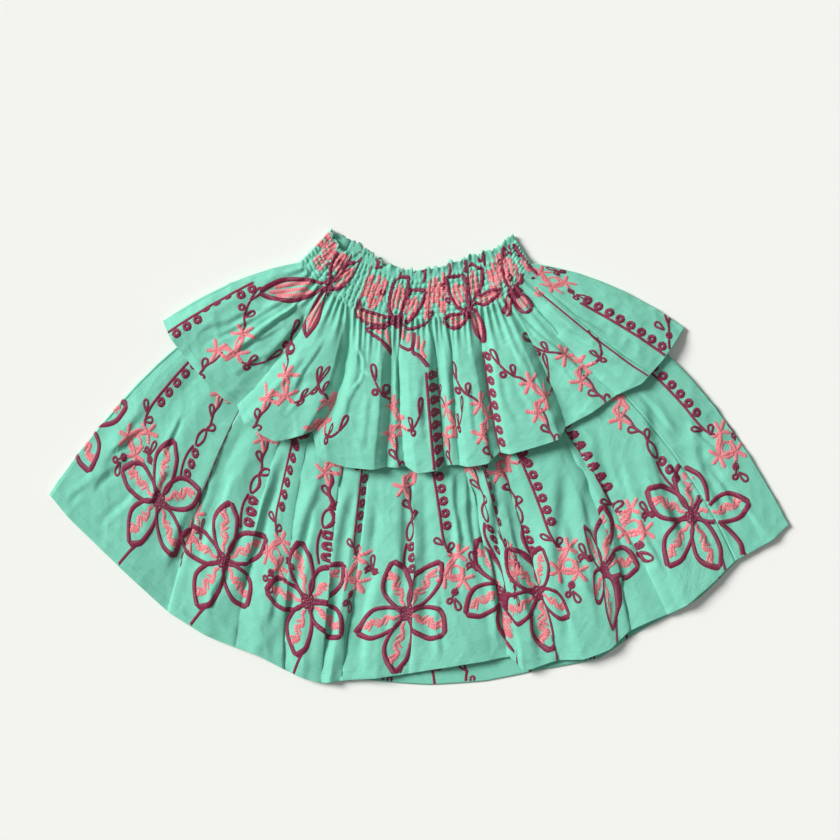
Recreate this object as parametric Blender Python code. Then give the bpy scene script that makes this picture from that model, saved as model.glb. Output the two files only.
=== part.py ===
"""A child's pollera skirt of embroidered cotton, laid flat on its back.

Two tiers of cloth, each a flattened tube of a front and a back panel. The upper tier is
one cloth from its ruffled heading through the shirred waist to its hem. The long lower
tier is gathered on under the lowest row of shirring. X runs to the right and Y towards
the waist as the skirt is seen from above, and the skirt rests on Z = 0.
"""
import math
from collections import namedtuple

import bmesh
import bpy
import numpy as np

MM = 0.001

# Cloth and layers, in millimetres.
WALL = 1.2
SEAM_GAP = 0.3
LAYER_GAP = 0.6
HEM_DEPTH = 9.0
HEM_RISE = 0.5
EDGE_BULGE = 2.0
LOWER_TOP_DROP = 9.0

# Shirred waist: ribs across the front, rows of elastic and the ruffle above them.
RIBS = 42
SHIRRING_ROWS = 9
FIRST_SHIRRING = -0.76
RIB_RISE = 2.2
PINCHED = 0.25
RUFFLE_RISE = 2.6
BAND_RISE = 1.6

# A fold runs from the gathered row down to the hem. It has its X at the row, the place
# halfway, the place at the hem, and its rise over the layer below at those two places.
Fold = namedtuple("Fold", "row_x mid_x mid_y hem_x hem_y mid_rise hem_rise")

UPPER_FRONT_FOLDS = [
    Fold(-131, -207, 189, -282, 147, 1, 1),  # left edge
    Fold(-127, -197, 175, -273, 129, 4, 3.5),  # wing crest
    Fold(-122, -186, 156, -257, 108, 2.5, 1.5),  # wing trough
    Fold(-117, -176, 136, -238, 85, 6, 6),  # wing swell
    Fold(-111, -162, 121, -215, 63, 5, 5),  # wing shoulder
    Fold(-106, -150, 109, -199, 53, 0, 0),  # crevice
    Fold(-99, -141, 97, -191, 35, 8.5, 8.5),  # wide pleat, left
    Fold(-90, -119, 95, -158, 16, 10, 10),  # wide pleat, middle
    Fold(-81, -97, 88, -127, 23, 10, 10),  # wide pleat, right
    Fold(-76, -89, 77, -118, 29, 0, 0),  # deep crevice
    Fold(-69, -78, 70, -110, -1, 7, 7),  # creased pleat, left
    Fold(-56, -62, 68, -81, -12, 7.5, 7),  # creased pleat, middle
    Fold(-38, -43, 66, -50, -15, 10, 10),  # creased pleat, right
    Fold(-31, -34, 62, -38, -12, 1, 1),  # crevice
    Fold(-25, -26, 64, -25, -13, 3.5, 3.5),  # recessed ridge
    Fold(-20, -20, 66, -14, -11, 0, 0),  # crevice
    Fold(-12, -11, 66, -3, -19, 9.5, 9.5),  # middle pleat, left
    Fold(7, 12, 68, 20, -16, 9.5, 10),  # middle pleat, right
    Fold(14, 21, 66, 26, -11, 0, 0),  # crevice
    Fold(24, 31, 70, 35, -10, 7, 4),  # narrow ridge
    Fold(33, 37, 72, 44, -10, 2.5, 1),  # shallow crevice
    Fold(42, 46, 70, 54, -12, 7, 7.5),  # narrow pleat, left
    Fold(55, 66, 68, 76, -8, 8.5, 9.5),  # narrow pleat, right
    Fold(63, 75, 66, 87, 4, 0, 0),  # deep crevice
    Fold(72, 87, 73, 100, 2, 10, 10),  # broad pleat, left
    Fold(92, 131, 81, 153, 18, 11, 11),  # broad pleat, right
    Fold(98, 140, 86, 160, 31, 0, 1),  # crevice
    Fold(103, 162, 101, 189, 47, 3.5, 3.5),  # lower-lying pleat
    Fold(109, 177, 112, 219, 68, 0, 0),  # crevice
    Fold(112, 187, 124, 244, 79, 7.5, 7.5),  # wing ridge
    Fold(116, 193, 135, 255, 91, 6, 7),  # side seam
    Fold(118, 199, 152, 268, 105, 3.5, 3.5),  # wing trough
    Fold(120, 205, 169, 280, 122, 4, 2.5),  # wing crest
    Fold(122, 208, 188, 292, 140, 1, 1),  # right edge
]
UPPER_SEAM_FOLD = 30

UPPER_BACK_FOLDS = [
    UPPER_FRONT_FOLDS[0],
    Fold(-98, -173, 139, -235, 99, 0, 0),
    Fold(-76, -131, 103, -177, 56, 0, 0),
    Fold(-48, -81, 86, -109, 26, 0, 0),
    Fold(-21, -32, 79, -37, 14, 0, 0),
    Fold(7, 18, 79, 34, 14, 0, 0),
    Fold(34, 67, 86, 106, 26, 0, 0),
    Fold(67, 117, 103, 172, 56, 0, 0),
    Fold(95, 166, 133, 238, 99, 0, 0),
    UPPER_FRONT_FOLDS[-1],
]

LOWER_FRONT_FOLDS = [
    Fold(-124, -265, 120, -407, -44, 0.5, 1),  # left edge
    Fold(-121, -262, 103, -386, -69, 3, 2.5),  # edge swell
    Fold(-118, -253, 79, -356, -98, 0.5, 3.5),  # small crease
    Fold(-112, -235, 64, -318, -134, 4, 6.5),  # crest
    Fold(-107, -205, 34, -276, -173, 0.5, 1),  # crevice
    Fold(-98, -184, 12, -235, -198, 5.5, 5.5),  # crest
    Fold(-90, -160, 1, -204, -211, 0.5, 2),  # crevice
    Fold(-82, -141, -7, -178, -220, 4, 6.5),  # crest
    Fold(-76, -131, -15, -150, -235, 2, 2),  # crevice
    Fold(-69, -112, -20, -128, -245, 6.5, 6.5),  # crest
    Fold(-63, -89, -26, -111, -250, 3, 2.5),  # crevice
    Fold(-54, -67, -29, -99, -250, 7, 8),  # sharp crest
    Fold(-47, -56, -33, -85, -248, 1.5, 2),  # crevice
    Fold(-36, -32, -36, -47, -245, 5, 7),  # crest
    Fold(-25, -6, -37, -10, -240, 1.5, 2.5),  # crevice
    Fold(-14, 18, -38, 31, -233, 4, 7),  # crest
    Fold(-6, 40, -38, 69, -227, 3.5, 6.5),  # swell
    Fold(3, 61, -36, 101, -222, 0, 1),  # crevice
    Fold(12, 76, -34, 116, -237, 6.5, 7),  # narrow crest
    Fold(23, 96, -30, 152, -226, 0.5, 2),  # broad crevice
    Fold(34, 114, -25, 182, -224, 5.5, 8),  # broad pleat, left
    Fold(52, 163, -16, 211, -213, 6.5, 7),  # broad pleat, right
    Fold(61, 174, -13, 230, -195, 0.5, 2),  # crevice
    Fold(67, 180, -11, 252, -184, 1.5, 4.5),  # small crest
    Fold(74, 188, -8, 277, -174, 0, 1),  # deep crevice
    Fold(85, 204, -1, 296, -164, 4, 6.5),  # swell
    Fold(96, 229, 14, 322, -142, 5.5, 5.5),  # right crest
    Fold(105, 252, 38, 349, -116, 3, 3.5),  # side seam
    Fold(109, 263, 57, 369, -105, 1.5, 3.5),  # right crease
    Fold(112, 272, 81, 391, -92, 3, 3.5),  # edge swell
    Fold(116, 271, 113, 407, -77, 0.5, 1),  # right edge
]
LOWER_SEAM_FOLD = 27

LOWER_BACK_FOLDS = [
    LOWER_FRONT_FOLDS[0],
    Fold(-111, -235, 67, -340, -103, 0, 0),
    Fold(-92, -188, 29, -263, -175, 0, 0),
    Fold(-74, -136, 1, -173, -216, 0, 0),
    Fold(-54, -81, -15, -103, -242, 0, 0),
    Fold(-34, -32, -24, -37, -250, 0, 0),
    Fold(-14, 14, -26, 12, -253, 0, 0),
    Fold(6, 62, -24, 73, -249, 0, 0),
    Fold(28, 106, -15, 133, -237, 0, 0),
    Fold(47, 150, -2, 199, -224, 0, 0),
    Fold(67, 190, 12, 243, -194, 0, 0),
    Fold(85, 223, 34, 309, -158, 0, 0),
    Fold(102, 252, 67, 359, -109, 0, 0),
    LOWER_FRONT_FOLDS[-1],
]

# Places (x, y) along the heading's edge, front and back, and the lowest shirring row.
HEADING_FRONT = [(-94, 251), (-86, 232), (-76, 227), (-53, 227), (-30, 213), (1, 209),
                 (34, 217), (65, 228), (85, 233), (101, 246)]
HEADING_BACK = [(-94, 251), (-74, 244), (-56, 232), (-30, 211), (1, 207), (34, 213),
                (65, 226), (85, 231), (101, 246)]
GATHER_ROW = [(-131, 212), (-118, 191), (-98, 176), (-76, 163), (-26, 150), (23, 152),
              (56, 158), (84, 166), (102, 179), (122, 211)]

# Where a fold starts to rise below the gathered row, and where it has its full rise.
UPPER_RISING = (0.0, 0.35)
LOWER_RISING = (0.15, 0.5)


def smooth(x):
    """Ease from 0 to 1."""
    x = np.clip(x, 0.0, 1.0)
    return x * x * (3.0 - 2.0 * x)


def spline(knots, value_at, s):
    """Smooth curve through rows of values at uneven knots. value_at(j) gives row j."""
    last = len(knots) - 1
    i = np.clip(np.searchsorted(knots, s, side="right") - 1, 0, last - 1)
    before = np.maximum(i - 1, 0)
    after = np.minimum(i + 2, last)
    width = knots[i + 1] - knots[i]
    w = ((s - knots[i]) / width)[..., None]
    start, end = value_at(i), value_at(i + 1)
    slope_start = (end - value_at(before)) * (width / (knots[i + 1] - knots[before]))[..., None]
    slope_end = (value_at(after) - start) * (width / (knots[after] - knots[i]))[..., None]
    return ((2 * w**3 - 3 * w**2 + 1) * start + (w**3 - 2 * w**2 + w) * slope_start
            + (3 * w**2 - 2 * w**3) * end + (w**3 - w**2) * slope_end)


def curve_y(points, x):
    """Y of the smooth curve through points at x."""
    places = np.array(points, float)
    x = np.clip(x, places[0, 0], places[-1, 0])
    return spline(places[:, 0], lambda j: places[j, 1:], x)[..., 0]


class Sheet:
    """One side of a tier: folds that run from its gathered row to its hem."""

    def __init__(self, folds, heading, drop, rising, layer):
        self.table = np.array(folds, float)
        self.heading = heading
        self.drop = drop
        self.rising = rising
        self.layer = layer
        ends = self.table[:, 1:5]
        steps = np.linalg.norm(np.diff(ends, axis=0), axis=1) ** 0.5
        self.knots = np.concatenate([[0.0], np.cumsum(steps)]) / steps.sum()

    def row_point(self, x):
        """Place on the gathered row."""
        return np.stack([x, curve_y(GATHER_ROW, x) - self.drop], -1)

    def heading_point(self, x):
        """Place on the heading's edge above the row's x."""
        left, right = self.heading[0][0], self.heading[-1][0]
        share = (x - self.table[0, 0]) / (self.table[-1, 0] - self.table[0, 0])
        edge_x = left + share * (right - left)
        return np.stack([edge_x, curve_y(self.heading, edge_x)], -1)

    def fold_path(self, j, t):
        """Place and rise of fold j at t: 0 at the row, 1 at the hem, -1 at the heading."""
        row = self.table[j]
        down = np.clip(t, 0.0, 1.0)[..., None]
        start = self.row_point(row[..., 0])
        place = ((1 - down) * (1 - 2 * down) * start + 4 * down * (1 - down) * row[..., 1:3]
                 + down * (2 * down - 1) * row[..., 3:5])
        if self.heading:
            up = np.clip(-t, 0.0, 1.0)[..., None]
            place = place * (1 - up) + self.heading_point(row[..., 0]) * up
        begin, full = self.rising
        rise = row[..., 5] * smooth((t - begin) / (full - begin))
        rise = rise + (row[..., 6] - row[..., 5]) * smooth(2 * t - 1)
        return np.concatenate([place, rise[..., None]], -1)

    def point(self, s, t):
        """Outer point at s across, 0 to 1 from left to right, and t down."""
        folded = spline(self.knots, lambda j: self.fold_path(j, t), s)
        rise = np.maximum(folded[..., 2], 0.0)
        z = self.layer(folded[..., 0], folded[..., 1], rise, t)
        return np.stack([folded[..., 0], folded[..., 1], z], -1)


class HeightMap:
    """Height of the layers laid so far, spread out so that what lies on it stays clear."""

    CELL = 4.0
    HALF_X = 432.0
    HALF_Y = 276.0

    def __init__(self, points, reach, ease):
        shape = (int(2 * self.HALF_X / self.CELL) + 1, int(2 * self.HALF_Y / self.CELL) + 1)
        heights = np.zeros(shape)
        for laid in points:
            flat = laid.reshape(-1, 3)
            ix = np.rint((flat[:, 0] + self.HALF_X) / self.CELL).astype(int)
            iy = np.rint((flat[:, 1] + self.HALF_Y) / self.CELL).astype(int)
            np.maximum.at(heights, (ix, iy), flat[:, 2])
        self.heights = self.eased(self.spread(heights, reach + ease), ease)

    def spread(self, heights, reach):
        """Highest value within reach of each cell."""
        cells = int(math.ceil(reach / self.CELL))
        padded = np.pad(heights, cells)
        result = heights.copy()
        for dx in range(-cells, cells + 1):
            for dy in range(-cells, cells + 1):
                if math.hypot(dx, dy) <= cells + 0.5:
                    shifted = padded[cells + dx:cells + dx + heights.shape[0],
                                     cells + dy:cells + dy + heights.shape[1]]
                    result = np.maximum(result, shifted)
        return result

    def eased(self, heights, ease):
        """Mean over a square of cells, taken one way and then the other."""
        cells = int(ease / (self.CELL * math.sqrt(2)))
        window = np.ones(2 * cells + 1) / (2 * cells + 1)
        for axis in (0, 1):
            padding = [(0, 0), (0, 0)]
            padding[axis] = (cells, cells)
            padded = np.pad(heights, padding, mode="edge")
            heights = np.apply_along_axis(np.convolve, axis, padded, window, "valid")
        return heights

    def at(self, x, y):
        """Height at x, y, between the four cells round it."""
        gx = np.clip((x + self.HALF_X) / self.CELL, 0, self.heights.shape[0] - 1.001)
        gy = np.clip((y + self.HALF_Y) / self.CELL, 0, self.heights.shape[1] - 1.001)
        ix, iy = gx.astype(int), gy.astype(int)
        fx, fy = gx - ix, gy - iy
        h = self.heights
        return ((1 - fx) * (1 - fy) * h[ix, iy] + fx * (1 - fy) * h[ix + 1, iy]
                + (1 - fx) * fy * h[ix, iy + 1] + fx * fy * h[ix + 1, iy + 1])


class Tube:
    """A tier as a flattened tube. u runs round it: 0 to 1 over the front from left to
    right, 1 to 2 round the right fold, 2 to 3 back under it and 3 to 4 round the left."""

    def __init__(self, front, back, seam_fold, top):
        self.front = front
        self.back = back
        self.seam_fold = seam_fold
        self.top = top

    def edge_outward(self, t, right):
        """Unit vector out of the tube across its right or left fold."""
        s = np.where(right, 1.0, 0.0)
        step = 0.01
        ahead = self.front.point(s, np.minimum(t + step, 1.0))
        behind = self.front.point(s, np.maximum(t - step, self.top))
        along = (ahead - behind)[..., :2]
        along = along / np.linalg.norm(along, axis=-1, keepdims=True)
        side = np.where(right, 1.0, -1.0)
        return np.stack([-along[..., 1] * side, along[..., 0] * side, np.zeros_like(t)], -1)

    def base(self, u, t):
        """Outer face of the tube before anything is raised on it."""
        t = np.clip(t, self.top, 1.0)
        u = np.mod(u, 4.0)
        over = np.where(u <= 1, u, np.where(u < 3, 1.0, 0.0))
        under = np.where(u < 2, 1.0, np.where(u <= 3, 3 - u, 0.0))
        turn = math.pi * (np.clip(u - 1, 0, 1) + np.clip(u - 3, 0, 1))
        share = (0.5 + 0.5 * np.cos(turn))[..., None]
        bulge = (EDGE_BULGE * np.abs(np.sin(turn)))[..., None]
        outward = self.edge_outward(t, u < 2)
        return (self.front.point(over, t) * share + self.back.point(under, t) * (1 - share)
                + outward * bulge)

    def normal(self, u, t):
        """Unit normal out of the cloth's outer face."""
        du, dt = 0.002, 0.004
        across = self.base(u + du, t) - self.base(u - du, t)
        down = self.base(u, t + dt) - self.base(u, t - dt)
        out = np.cross(down, across)
        return out / np.linalg.norm(out, axis=-1, keepdims=True)

    def relief(self, u, t, hem_distance):
        """Height of ribs, ruffle and hem over the plain cloth."""
        turned = np.where(hem_distance <= HEM_DEPTH + 0.01, HEM_RISE, 0.0)
        if self.top == 0.0:
            return turned
        u = np.mod(u + 1.0, 4.0) - 1.0
        over = smooth((u + 0.3) / 0.3) * smooth((1.3 - u) / 0.3)
        share = self.rib_share(np.clip(u, 0, 1))
        ribs = 0.5 + 0.5 * np.cos(2 * math.pi * RIBS * share)
        row = (t - FIRST_SHIRRING) / -FIRST_SHIRRING * (SHIRRING_ROWS - 1)
        puff = PINCHED + (1 - PINCHED) * np.abs(np.sin(math.pi * row))
        shirred = RIB_RISE * ribs * puff * smooth((0.03 - t) / 0.03)
        wave = 0.5 + 0.5 * np.cos(math.pi * RIBS * share + 2.0 * np.sin(9.0 * share))
        up = smooth((FIRST_SHIRRING - t) / (1 + FIRST_SHIRRING))
        ruffle = up * RUFFLE_RISE * wave + (1 - up) * RIB_RISE * PINCHED * ribs
        return turned + over * np.where(t < FIRST_SHIRRING, ruffle, shirred)

    def rib_share(self, s):
        """Share of the gathered row's width at s."""
        row_x = np.interp(s, self.front.knots, self.front.table[:, 0])
        return (row_x - self.front.table[0, 0]) / np.ptp(self.front.table[:, 0])

    def rib_columns(self, start, end):
        """Columns on each rib's crest and in each gap, from s start to end."""
        shares = np.arange(2 * RIBS + 1) / (2 * RIBS)
        columns = np.interp(shares, self.rib_share(self.front.knots), self.front.knots)
        inside = columns[(columns > start + 0.004) & (columns < end - 0.004)]
        return np.concatenate([[start], inside, [end]])

    def fold_columns(self, start, end):
        """Columns on each fold and halfway between folds, from s start to end."""
        knots = self.front.knots
        halfway = (knots[1:] + knots[:-1]) / 2
        columns = np.sort(np.concatenate([knots, halfway]))
        inside = columns[(columns > start + 0.004) & (columns < end - 0.004)]
        return np.concatenate([[start], inside, [end]])


# Columns round a side fold, and how many fine rows the plain inner face takes as one.
TURN = np.array([0.25, 0.5, 0.75])
INNER_STEP = 3

# Rows down a panel: t, the distance above the hem, and whether the ribs are cut finely.
Row = namedtuple("Row", "t above_hem fine")


def flounce_rows(steps):
    """Plain rows at steps, the hem band's two edges and the hem."""
    rows = [Row(t, 0.0, False) for t in steps]
    return rows + [Row(1.0, HEM_DEPTH + 1.5, False), Row(1.0, HEM_DEPTH, False), Row(1.0, 0.0, False)]


def waist_rows():
    """Rows of the heading, then each shirring row and the puff below it."""
    rows = [Row(-1.0, 0.0, True), Row((FIRST_SHIRRING - 1) / 2, 0.0, True)]
    count = 2 * (SHIRRING_ROWS - 1)
    return rows + [Row(FIRST_SHIRRING * (1 - k / count), 0.0, True) for k in range(count + 1)]


def columns_round(tube, panel, fine, under_count):
    """Columns of a panel along u, from its one side seam to the other."""
    seam = tube.front.knots[tube.seam_fold]
    hidden = 1 - seam
    pick = tube.rib_columns if fine else tube.fold_columns
    if panel == "front":
        under = np.linspace(-1 - hidden, -1, 3)
        return np.concatenate([under, TURN - 1, pick(0.0, seam)])
    under = np.linspace(2, 3 - hidden, under_count)
    return np.concatenate([pick(seam, 1.0), 1 + TURN, under])


def row_places(tube, row, u):
    """t of a row at each column. A row above the hem keeps its distance from it."""
    hem = tube.base(u, np.ones_like(u))
    gathered = tube.base(u, np.zeros_like(u))
    return row.t - row.above_hem / np.linalg.norm(hem - gathered, axis=-1)


def panel_faces(tube, panel, rows, under_count):
    """Outer and inner rows of points of one panel, each with its columns."""
    outer, inner = [], []
    for number, row in enumerate(rows):
        u = columns_round(tube, panel, row.fine, under_count)
        outer.append((u, raised_points(tube, u, row_places(tube, row, u), row)))
        if not row.fine or number % INNER_STEP == 0:
            u = columns_round(tube, panel, False, under_count)
            inner.append((u, sunk_points(tube, u, row_places(tube, row, u))))
    return outer, inner


def end_shift(tube, u, t):
    """Half the seam gap, taken off both ends of a row."""
    du = 0.002
    along = tube.base(u + du, t) - tube.base(u - du, t)
    along = along / np.linalg.norm(along, axis=-1, keepdims=True)
    shift = np.zeros_like(along)
    shift[0] = along[0] * SEAM_GAP / 2
    shift[-1] = -along[-1] * SEAM_GAP / 2
    return shift


def raised_points(tube, u, t, row):
    """Points of the outer face."""
    hem_distance = np.full_like(u, row.above_hem if row.t == 1.0 else 2 * HEM_DEPTH)
    relief = tube.relief(u, t, hem_distance)
    resting = np.mod(u, 4.0)
    relief = np.where((resting >= 2) & (resting <= 3), 0.0, relief)
    points = tube.base(u, t) + tube.normal(u, t) * relief[:, None]
    return points + end_shift(tube, u, t)


def sunk_points(tube, u, t):
    """Points of the plain inner face."""
    return tube.base(u, t) - tube.normal(u, t) * WALL + end_shift(tube, u, t)


def stitch(faces, one, other):
    """Triangles between two lines of (vertex, place), each in rising place."""
    i, j = 0, 0
    while i < len(one) - 1 or j < len(other) - 1:
        step_one = j == len(other) - 1
        if not step_one and i < len(one) - 1:
            step_one = one[i + 1][1] <= other[j + 1][1]
        if step_one:
            faces.append((one[i][0], other[j][0], one[i + 1][0]))
            i += 1
        else:
            faces.append((one[i][0], other[j][0], other[j + 1][0]))
            j += 1


def closed_wall(name, outer, inner):
    """A mesh of both faces and the four edges between them."""
    points = []
    faces = []

    def indexed(rows):
        lines = []
        for u, row in rows:
            first = len(points)
            points.extend(row * MM)
            lines.append([(first + k, place) for k, place in enumerate(u)])
        return lines

    front_lines = indexed(outer)
    back_lines = indexed(inner)
    for lines in (front_lines, back_lines):
        for line, following in zip(lines, lines[1:]):
            stitch(faces, line, following)
    stitch(faces, front_lines[0], back_lines[0])
    stitch(faces, front_lines[-1], back_lines[-1])
    for side in (0, -1):
        stitch(faces, side_line(front_lines, side, points), side_line(back_lines, side, points))
    return solid_mesh(name, points, faces)


def side_line(lines, side, points):
    """The end vertices of all rows, placed by how far down they lie."""
    return [(line[side][0], -points[line[side][0]][1]) for line in lines]


def solid_mesh(name, points, faces):
    """A closed mesh with its faces pointing out."""
    mesh = bpy.data.meshes.new(name)
    mesh.from_pydata([tuple(p) for p in points], [], faces)
    shell = bmesh.new()
    shell.from_mesh(mesh)
    bmesh.ops.recalc_face_normals(shell, faces=shell.faces)
    shell.to_mesh(mesh)
    shell.free()
    mesh.shade_smooth()
    mesh.set_sharp_from_angle(angle=math.radians(50))
    return mesh


def cloth_material(name, colour):
    """Matt cotton."""
    material = bpy.data.materials.new(name)
    material.use_nodes = True
    shader = material.node_tree.nodes["Principled BSDF"]
    shader.inputs["Base Color"].default_value = (*colour, 1.0)
    shader.inputs["Roughness"].default_value = 0.85
    shader.inputs["Metallic"].default_value = 0.0
    return material


def dense_points(sheet, top):
    """Close points all over a sheet, for the layers that lie on it."""
    s, t = np.meshgrid(np.linspace(0, 1, 480), np.linspace(top, 1, 220), indexing="ij")
    return sheet.point(s, t)


def on_floor(x, y, rise, t):
    """The back of the upper tier rests on the floor."""
    return np.zeros_like(x)


def build_tiers():
    """Lay the four sheets in order, each over those below it."""
    upper_back = Sheet(UPPER_BACK_FOLDS, HEADING_BACK, 0.0, UPPER_RISING, on_floor)
    upper_back_cloth = dense_points(upper_back, -1.0) + (0, 0, WALL)

    floor_map = HeightMap([dense_points(upper_back, 0.0) + (0, 0, WALL + SEAM_GAP)], 30.0, 24.0)

    def over_flounce(x, y, rise, t):
        return floor_map.at(x, y)

    lower_back = Sheet(LOWER_BACK_FOLDS, None, LOWER_TOP_DROP, LOWER_RISING, over_flounce)
    lower_back_cloth = dense_points(lower_back, 0.0) + (0, 0, WALL)
    back_map = HeightMap([lower_back_cloth], 12.0, 8.0)

    def over_lower_back(x, y, rise, t):
        return back_map.at(x, y) + LAYER_GAP + WALL + rise

    lower_front = Sheet(LOWER_FRONT_FOLDS, None, LOWER_TOP_DROP, LOWER_RISING, over_lower_back)
    stack = [upper_back_cloth, lower_back_cloth, dense_points(lower_front, 0.0)]
    stack_map = HeightMap(stack, 14.0, 8.0)

    def over_lower_tier(x, y, rise, t):
        band = BAND_RISE * smooth((0.3 - t) / 0.3)
        return stack_map.at(x, y) + LAYER_GAP + WALL + rise + band

    upper_front = Sheet(UPPER_FRONT_FOLDS, HEADING_FRONT, 0.0, UPPER_RISING, over_lower_tier)
    upper = Tube(upper_front, upper_back, UPPER_SEAM_FOLD, -1.0)
    lower = Tube(lower_front, lower_back, LOWER_SEAM_FOLD, 0.0)
    return upper, lower


def add_panel(name, tube, panel, rows, under_count, colour):
    """Build one panel and stand it in the scene."""
    outer, inner = panel_faces(tube, panel, rows, under_count)
    mesh = closed_wall(name, outer, inner)
    mesh.materials.append(cloth_material(name + "_cotton", colour))
    bpy.context.scene.collection.objects.link(bpy.data.objects.new(name, mesh))


def main():
    for thing in list(bpy.data.objects):
        bpy.data.objects.remove(thing)
    upper, lower = build_tiers()
    upper_rows = waist_rows() + flounce_rows([0.07, 0.15, 0.25, 0.37, 0.5, 0.62, 0.74, 0.86])
    lower_rows = flounce_rows([0.0, 0.12, 0.24, 0.35, 0.46, 0.56, 0.66, 0.76, 0.86])
    turquoise = (0.21, 0.59, 0.44)
    add_panel("upper_tier_back", upper, "back", upper_rows, 25, turquoise)
    add_panel("lower_tier_back", lower, "back", lower_rows, 29, turquoise)
    add_panel("lower_tier_front", lower, "front", lower_rows, 3, turquoise)
    add_panel("upper_tier_front", upper, "front", upper_rows, 3, turquoise)


main()
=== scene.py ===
"""The look of a child's pollera skirt, laid flat on its back and seen from straight above.

Each of the skirt's four panels is a thin cloth shell on the form of its solid, with finer
ribs, gathers, creases and hems. The embroidery is raised thread that follows the cloth.
Lengths are in millimetres and become metres when a mesh is made.
"""
import math
from collections import namedtuple

import bpy
import numpy as np
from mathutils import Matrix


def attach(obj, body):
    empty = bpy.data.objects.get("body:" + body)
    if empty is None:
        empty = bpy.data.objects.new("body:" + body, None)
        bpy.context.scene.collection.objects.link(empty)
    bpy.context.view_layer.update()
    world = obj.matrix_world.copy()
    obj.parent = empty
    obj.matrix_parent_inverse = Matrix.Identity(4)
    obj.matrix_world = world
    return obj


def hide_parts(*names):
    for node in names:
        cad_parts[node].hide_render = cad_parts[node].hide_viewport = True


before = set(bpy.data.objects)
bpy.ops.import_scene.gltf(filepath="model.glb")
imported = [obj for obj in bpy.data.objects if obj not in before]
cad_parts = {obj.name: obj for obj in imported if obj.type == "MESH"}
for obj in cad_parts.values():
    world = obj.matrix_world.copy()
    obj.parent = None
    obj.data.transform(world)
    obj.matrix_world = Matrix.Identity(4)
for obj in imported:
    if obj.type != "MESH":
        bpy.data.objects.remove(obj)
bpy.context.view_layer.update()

MM = 0.001

# Cloth and layers, in millimetres.
WALL = 1.2
SEAM_GAP = 0.3
LAYER_GAP = 0.6
EDGE_BULGE = 2.0
LOWER_TOP_DROP = 9.0

# Shirred waist: ribs across the front, rows of elastic and the ruffle above them.
RIBS = 42
SHIRRING_ROWS = 9
FIRST_SHIRRING = -0.76
RIB_RISE = 2.2
PINCHED = 0.25
RUFFLE_RISE = 4.94
BAND_RISE = 1.6

# A fold runs from the gathered row down to the hem. It has its X at the row, the place
# halfway, the place at the hem, and its rise over the layer below at those two places.
Fold = namedtuple("Fold", "row_x mid_x mid_y hem_x hem_y mid_rise hem_rise")

UPPER_FRONT_FOLDS = [
    Fold(-131, -207, 189, -282, 147, 1, 1),  # left edge
    Fold(-127, -197, 175, -273, 129, 4, 3.5),  # wing crest
    Fold(-122, -186, 156, -257, 108, 2.5, 1.5),  # wing trough
    Fold(-117, -176, 136, -238, 85, 6, 6),  # wing swell
    Fold(-111, -162, 121, -215, 63, 5, 5),  # wing shoulder
    Fold(-106, -150, 109, -199, 53, 0, 0),  # crevice
    Fold(-99, -141, 97, -191, 35, 8.5, 8.5),  # wide pleat, left
    Fold(-90, -119, 95, -158, 16, 10, 10),  # wide pleat, middle
    Fold(-81, -97, 88, -127, 23, 10, 10),  # wide pleat, right
    Fold(-76, -89, 77, -118, 29, 0, 0),  # deep crevice
    Fold(-69, -78, 70, -110, -1, 7, 7),  # creased pleat, left
    Fold(-56, -62, 68, -81, -12, 7.5, 7),  # creased pleat, middle
    Fold(-38, -43, 66, -50, -15, 10, 10),  # creased pleat, right
    Fold(-31, -34, 62, -38, -12, 1, 1),  # crevice
    Fold(-25, -26, 64, -25, -13, 3.5, 3.5),  # recessed ridge
    Fold(-20, -20, 66, -14, -11, 0, 0),  # crevice
    Fold(-12, -11, 66, -3, -19, 9.5, 9.5),  # middle pleat, left
    Fold(7, 12, 68, 20, -16, 9.5, 10),  # middle pleat, right
    Fold(14, 21, 66, 26, -11, 0, 0),  # crevice
    Fold(24, 31, 70, 35, -10, 7, 4),  # narrow ridge
    Fold(33, 37, 72, 44, -10, 2.5, 1),  # shallow crevice
    Fold(42, 46, 70, 54, -12, 7, 7.5),  # narrow pleat, left
    Fold(55, 66, 68, 76, -8, 8.5, 9.5),  # narrow pleat, right
    Fold(63, 75, 66, 87, 4, 0, 0),  # deep crevice
    Fold(72, 87, 73, 100, 2, 10, 10),  # broad pleat, left
    Fold(92, 131, 81, 153, 18, 11, 11),  # broad pleat, right
    Fold(98, 140, 86, 160, 31, 0, 1),  # crevice
    Fold(103, 162, 101, 189, 47, 3.5, 3.5),  # lower-lying pleat
    Fold(109, 177, 112, 219, 68, 0, 0),  # crevice
    Fold(112, 187, 124, 244, 79, 7.5, 7.5),  # wing ridge
    Fold(116, 193, 135, 255, 91, 6, 7),  # side seam
    Fold(118, 199, 152, 268, 105, 3.5, 3.5),  # wing trough
    Fold(120, 205, 169, 280, 122, 4, 2.5),  # wing crest
    Fold(122, 208, 188, 292, 140, 1, 1),  # right edge
]
UPPER_SEAM_FOLD = 30

UPPER_BACK_FOLDS = [UPPER_FRONT_FOLDS[0], *(Fold(*row, 0, 0) for row in (
    (-98, -173, 139, -235, 99), (-76, -131, 103, -177, 56), (-48, -81, 86, -109, 26),
    (-21, -32, 79, -37, 14), (7, 18, 79, 34, 14), (34, 67, 86, 106, 26),
    (67, 117, 103, 172, 56), (95, 166, 133, 238, 99),
)), UPPER_FRONT_FOLDS[-1]]

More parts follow.
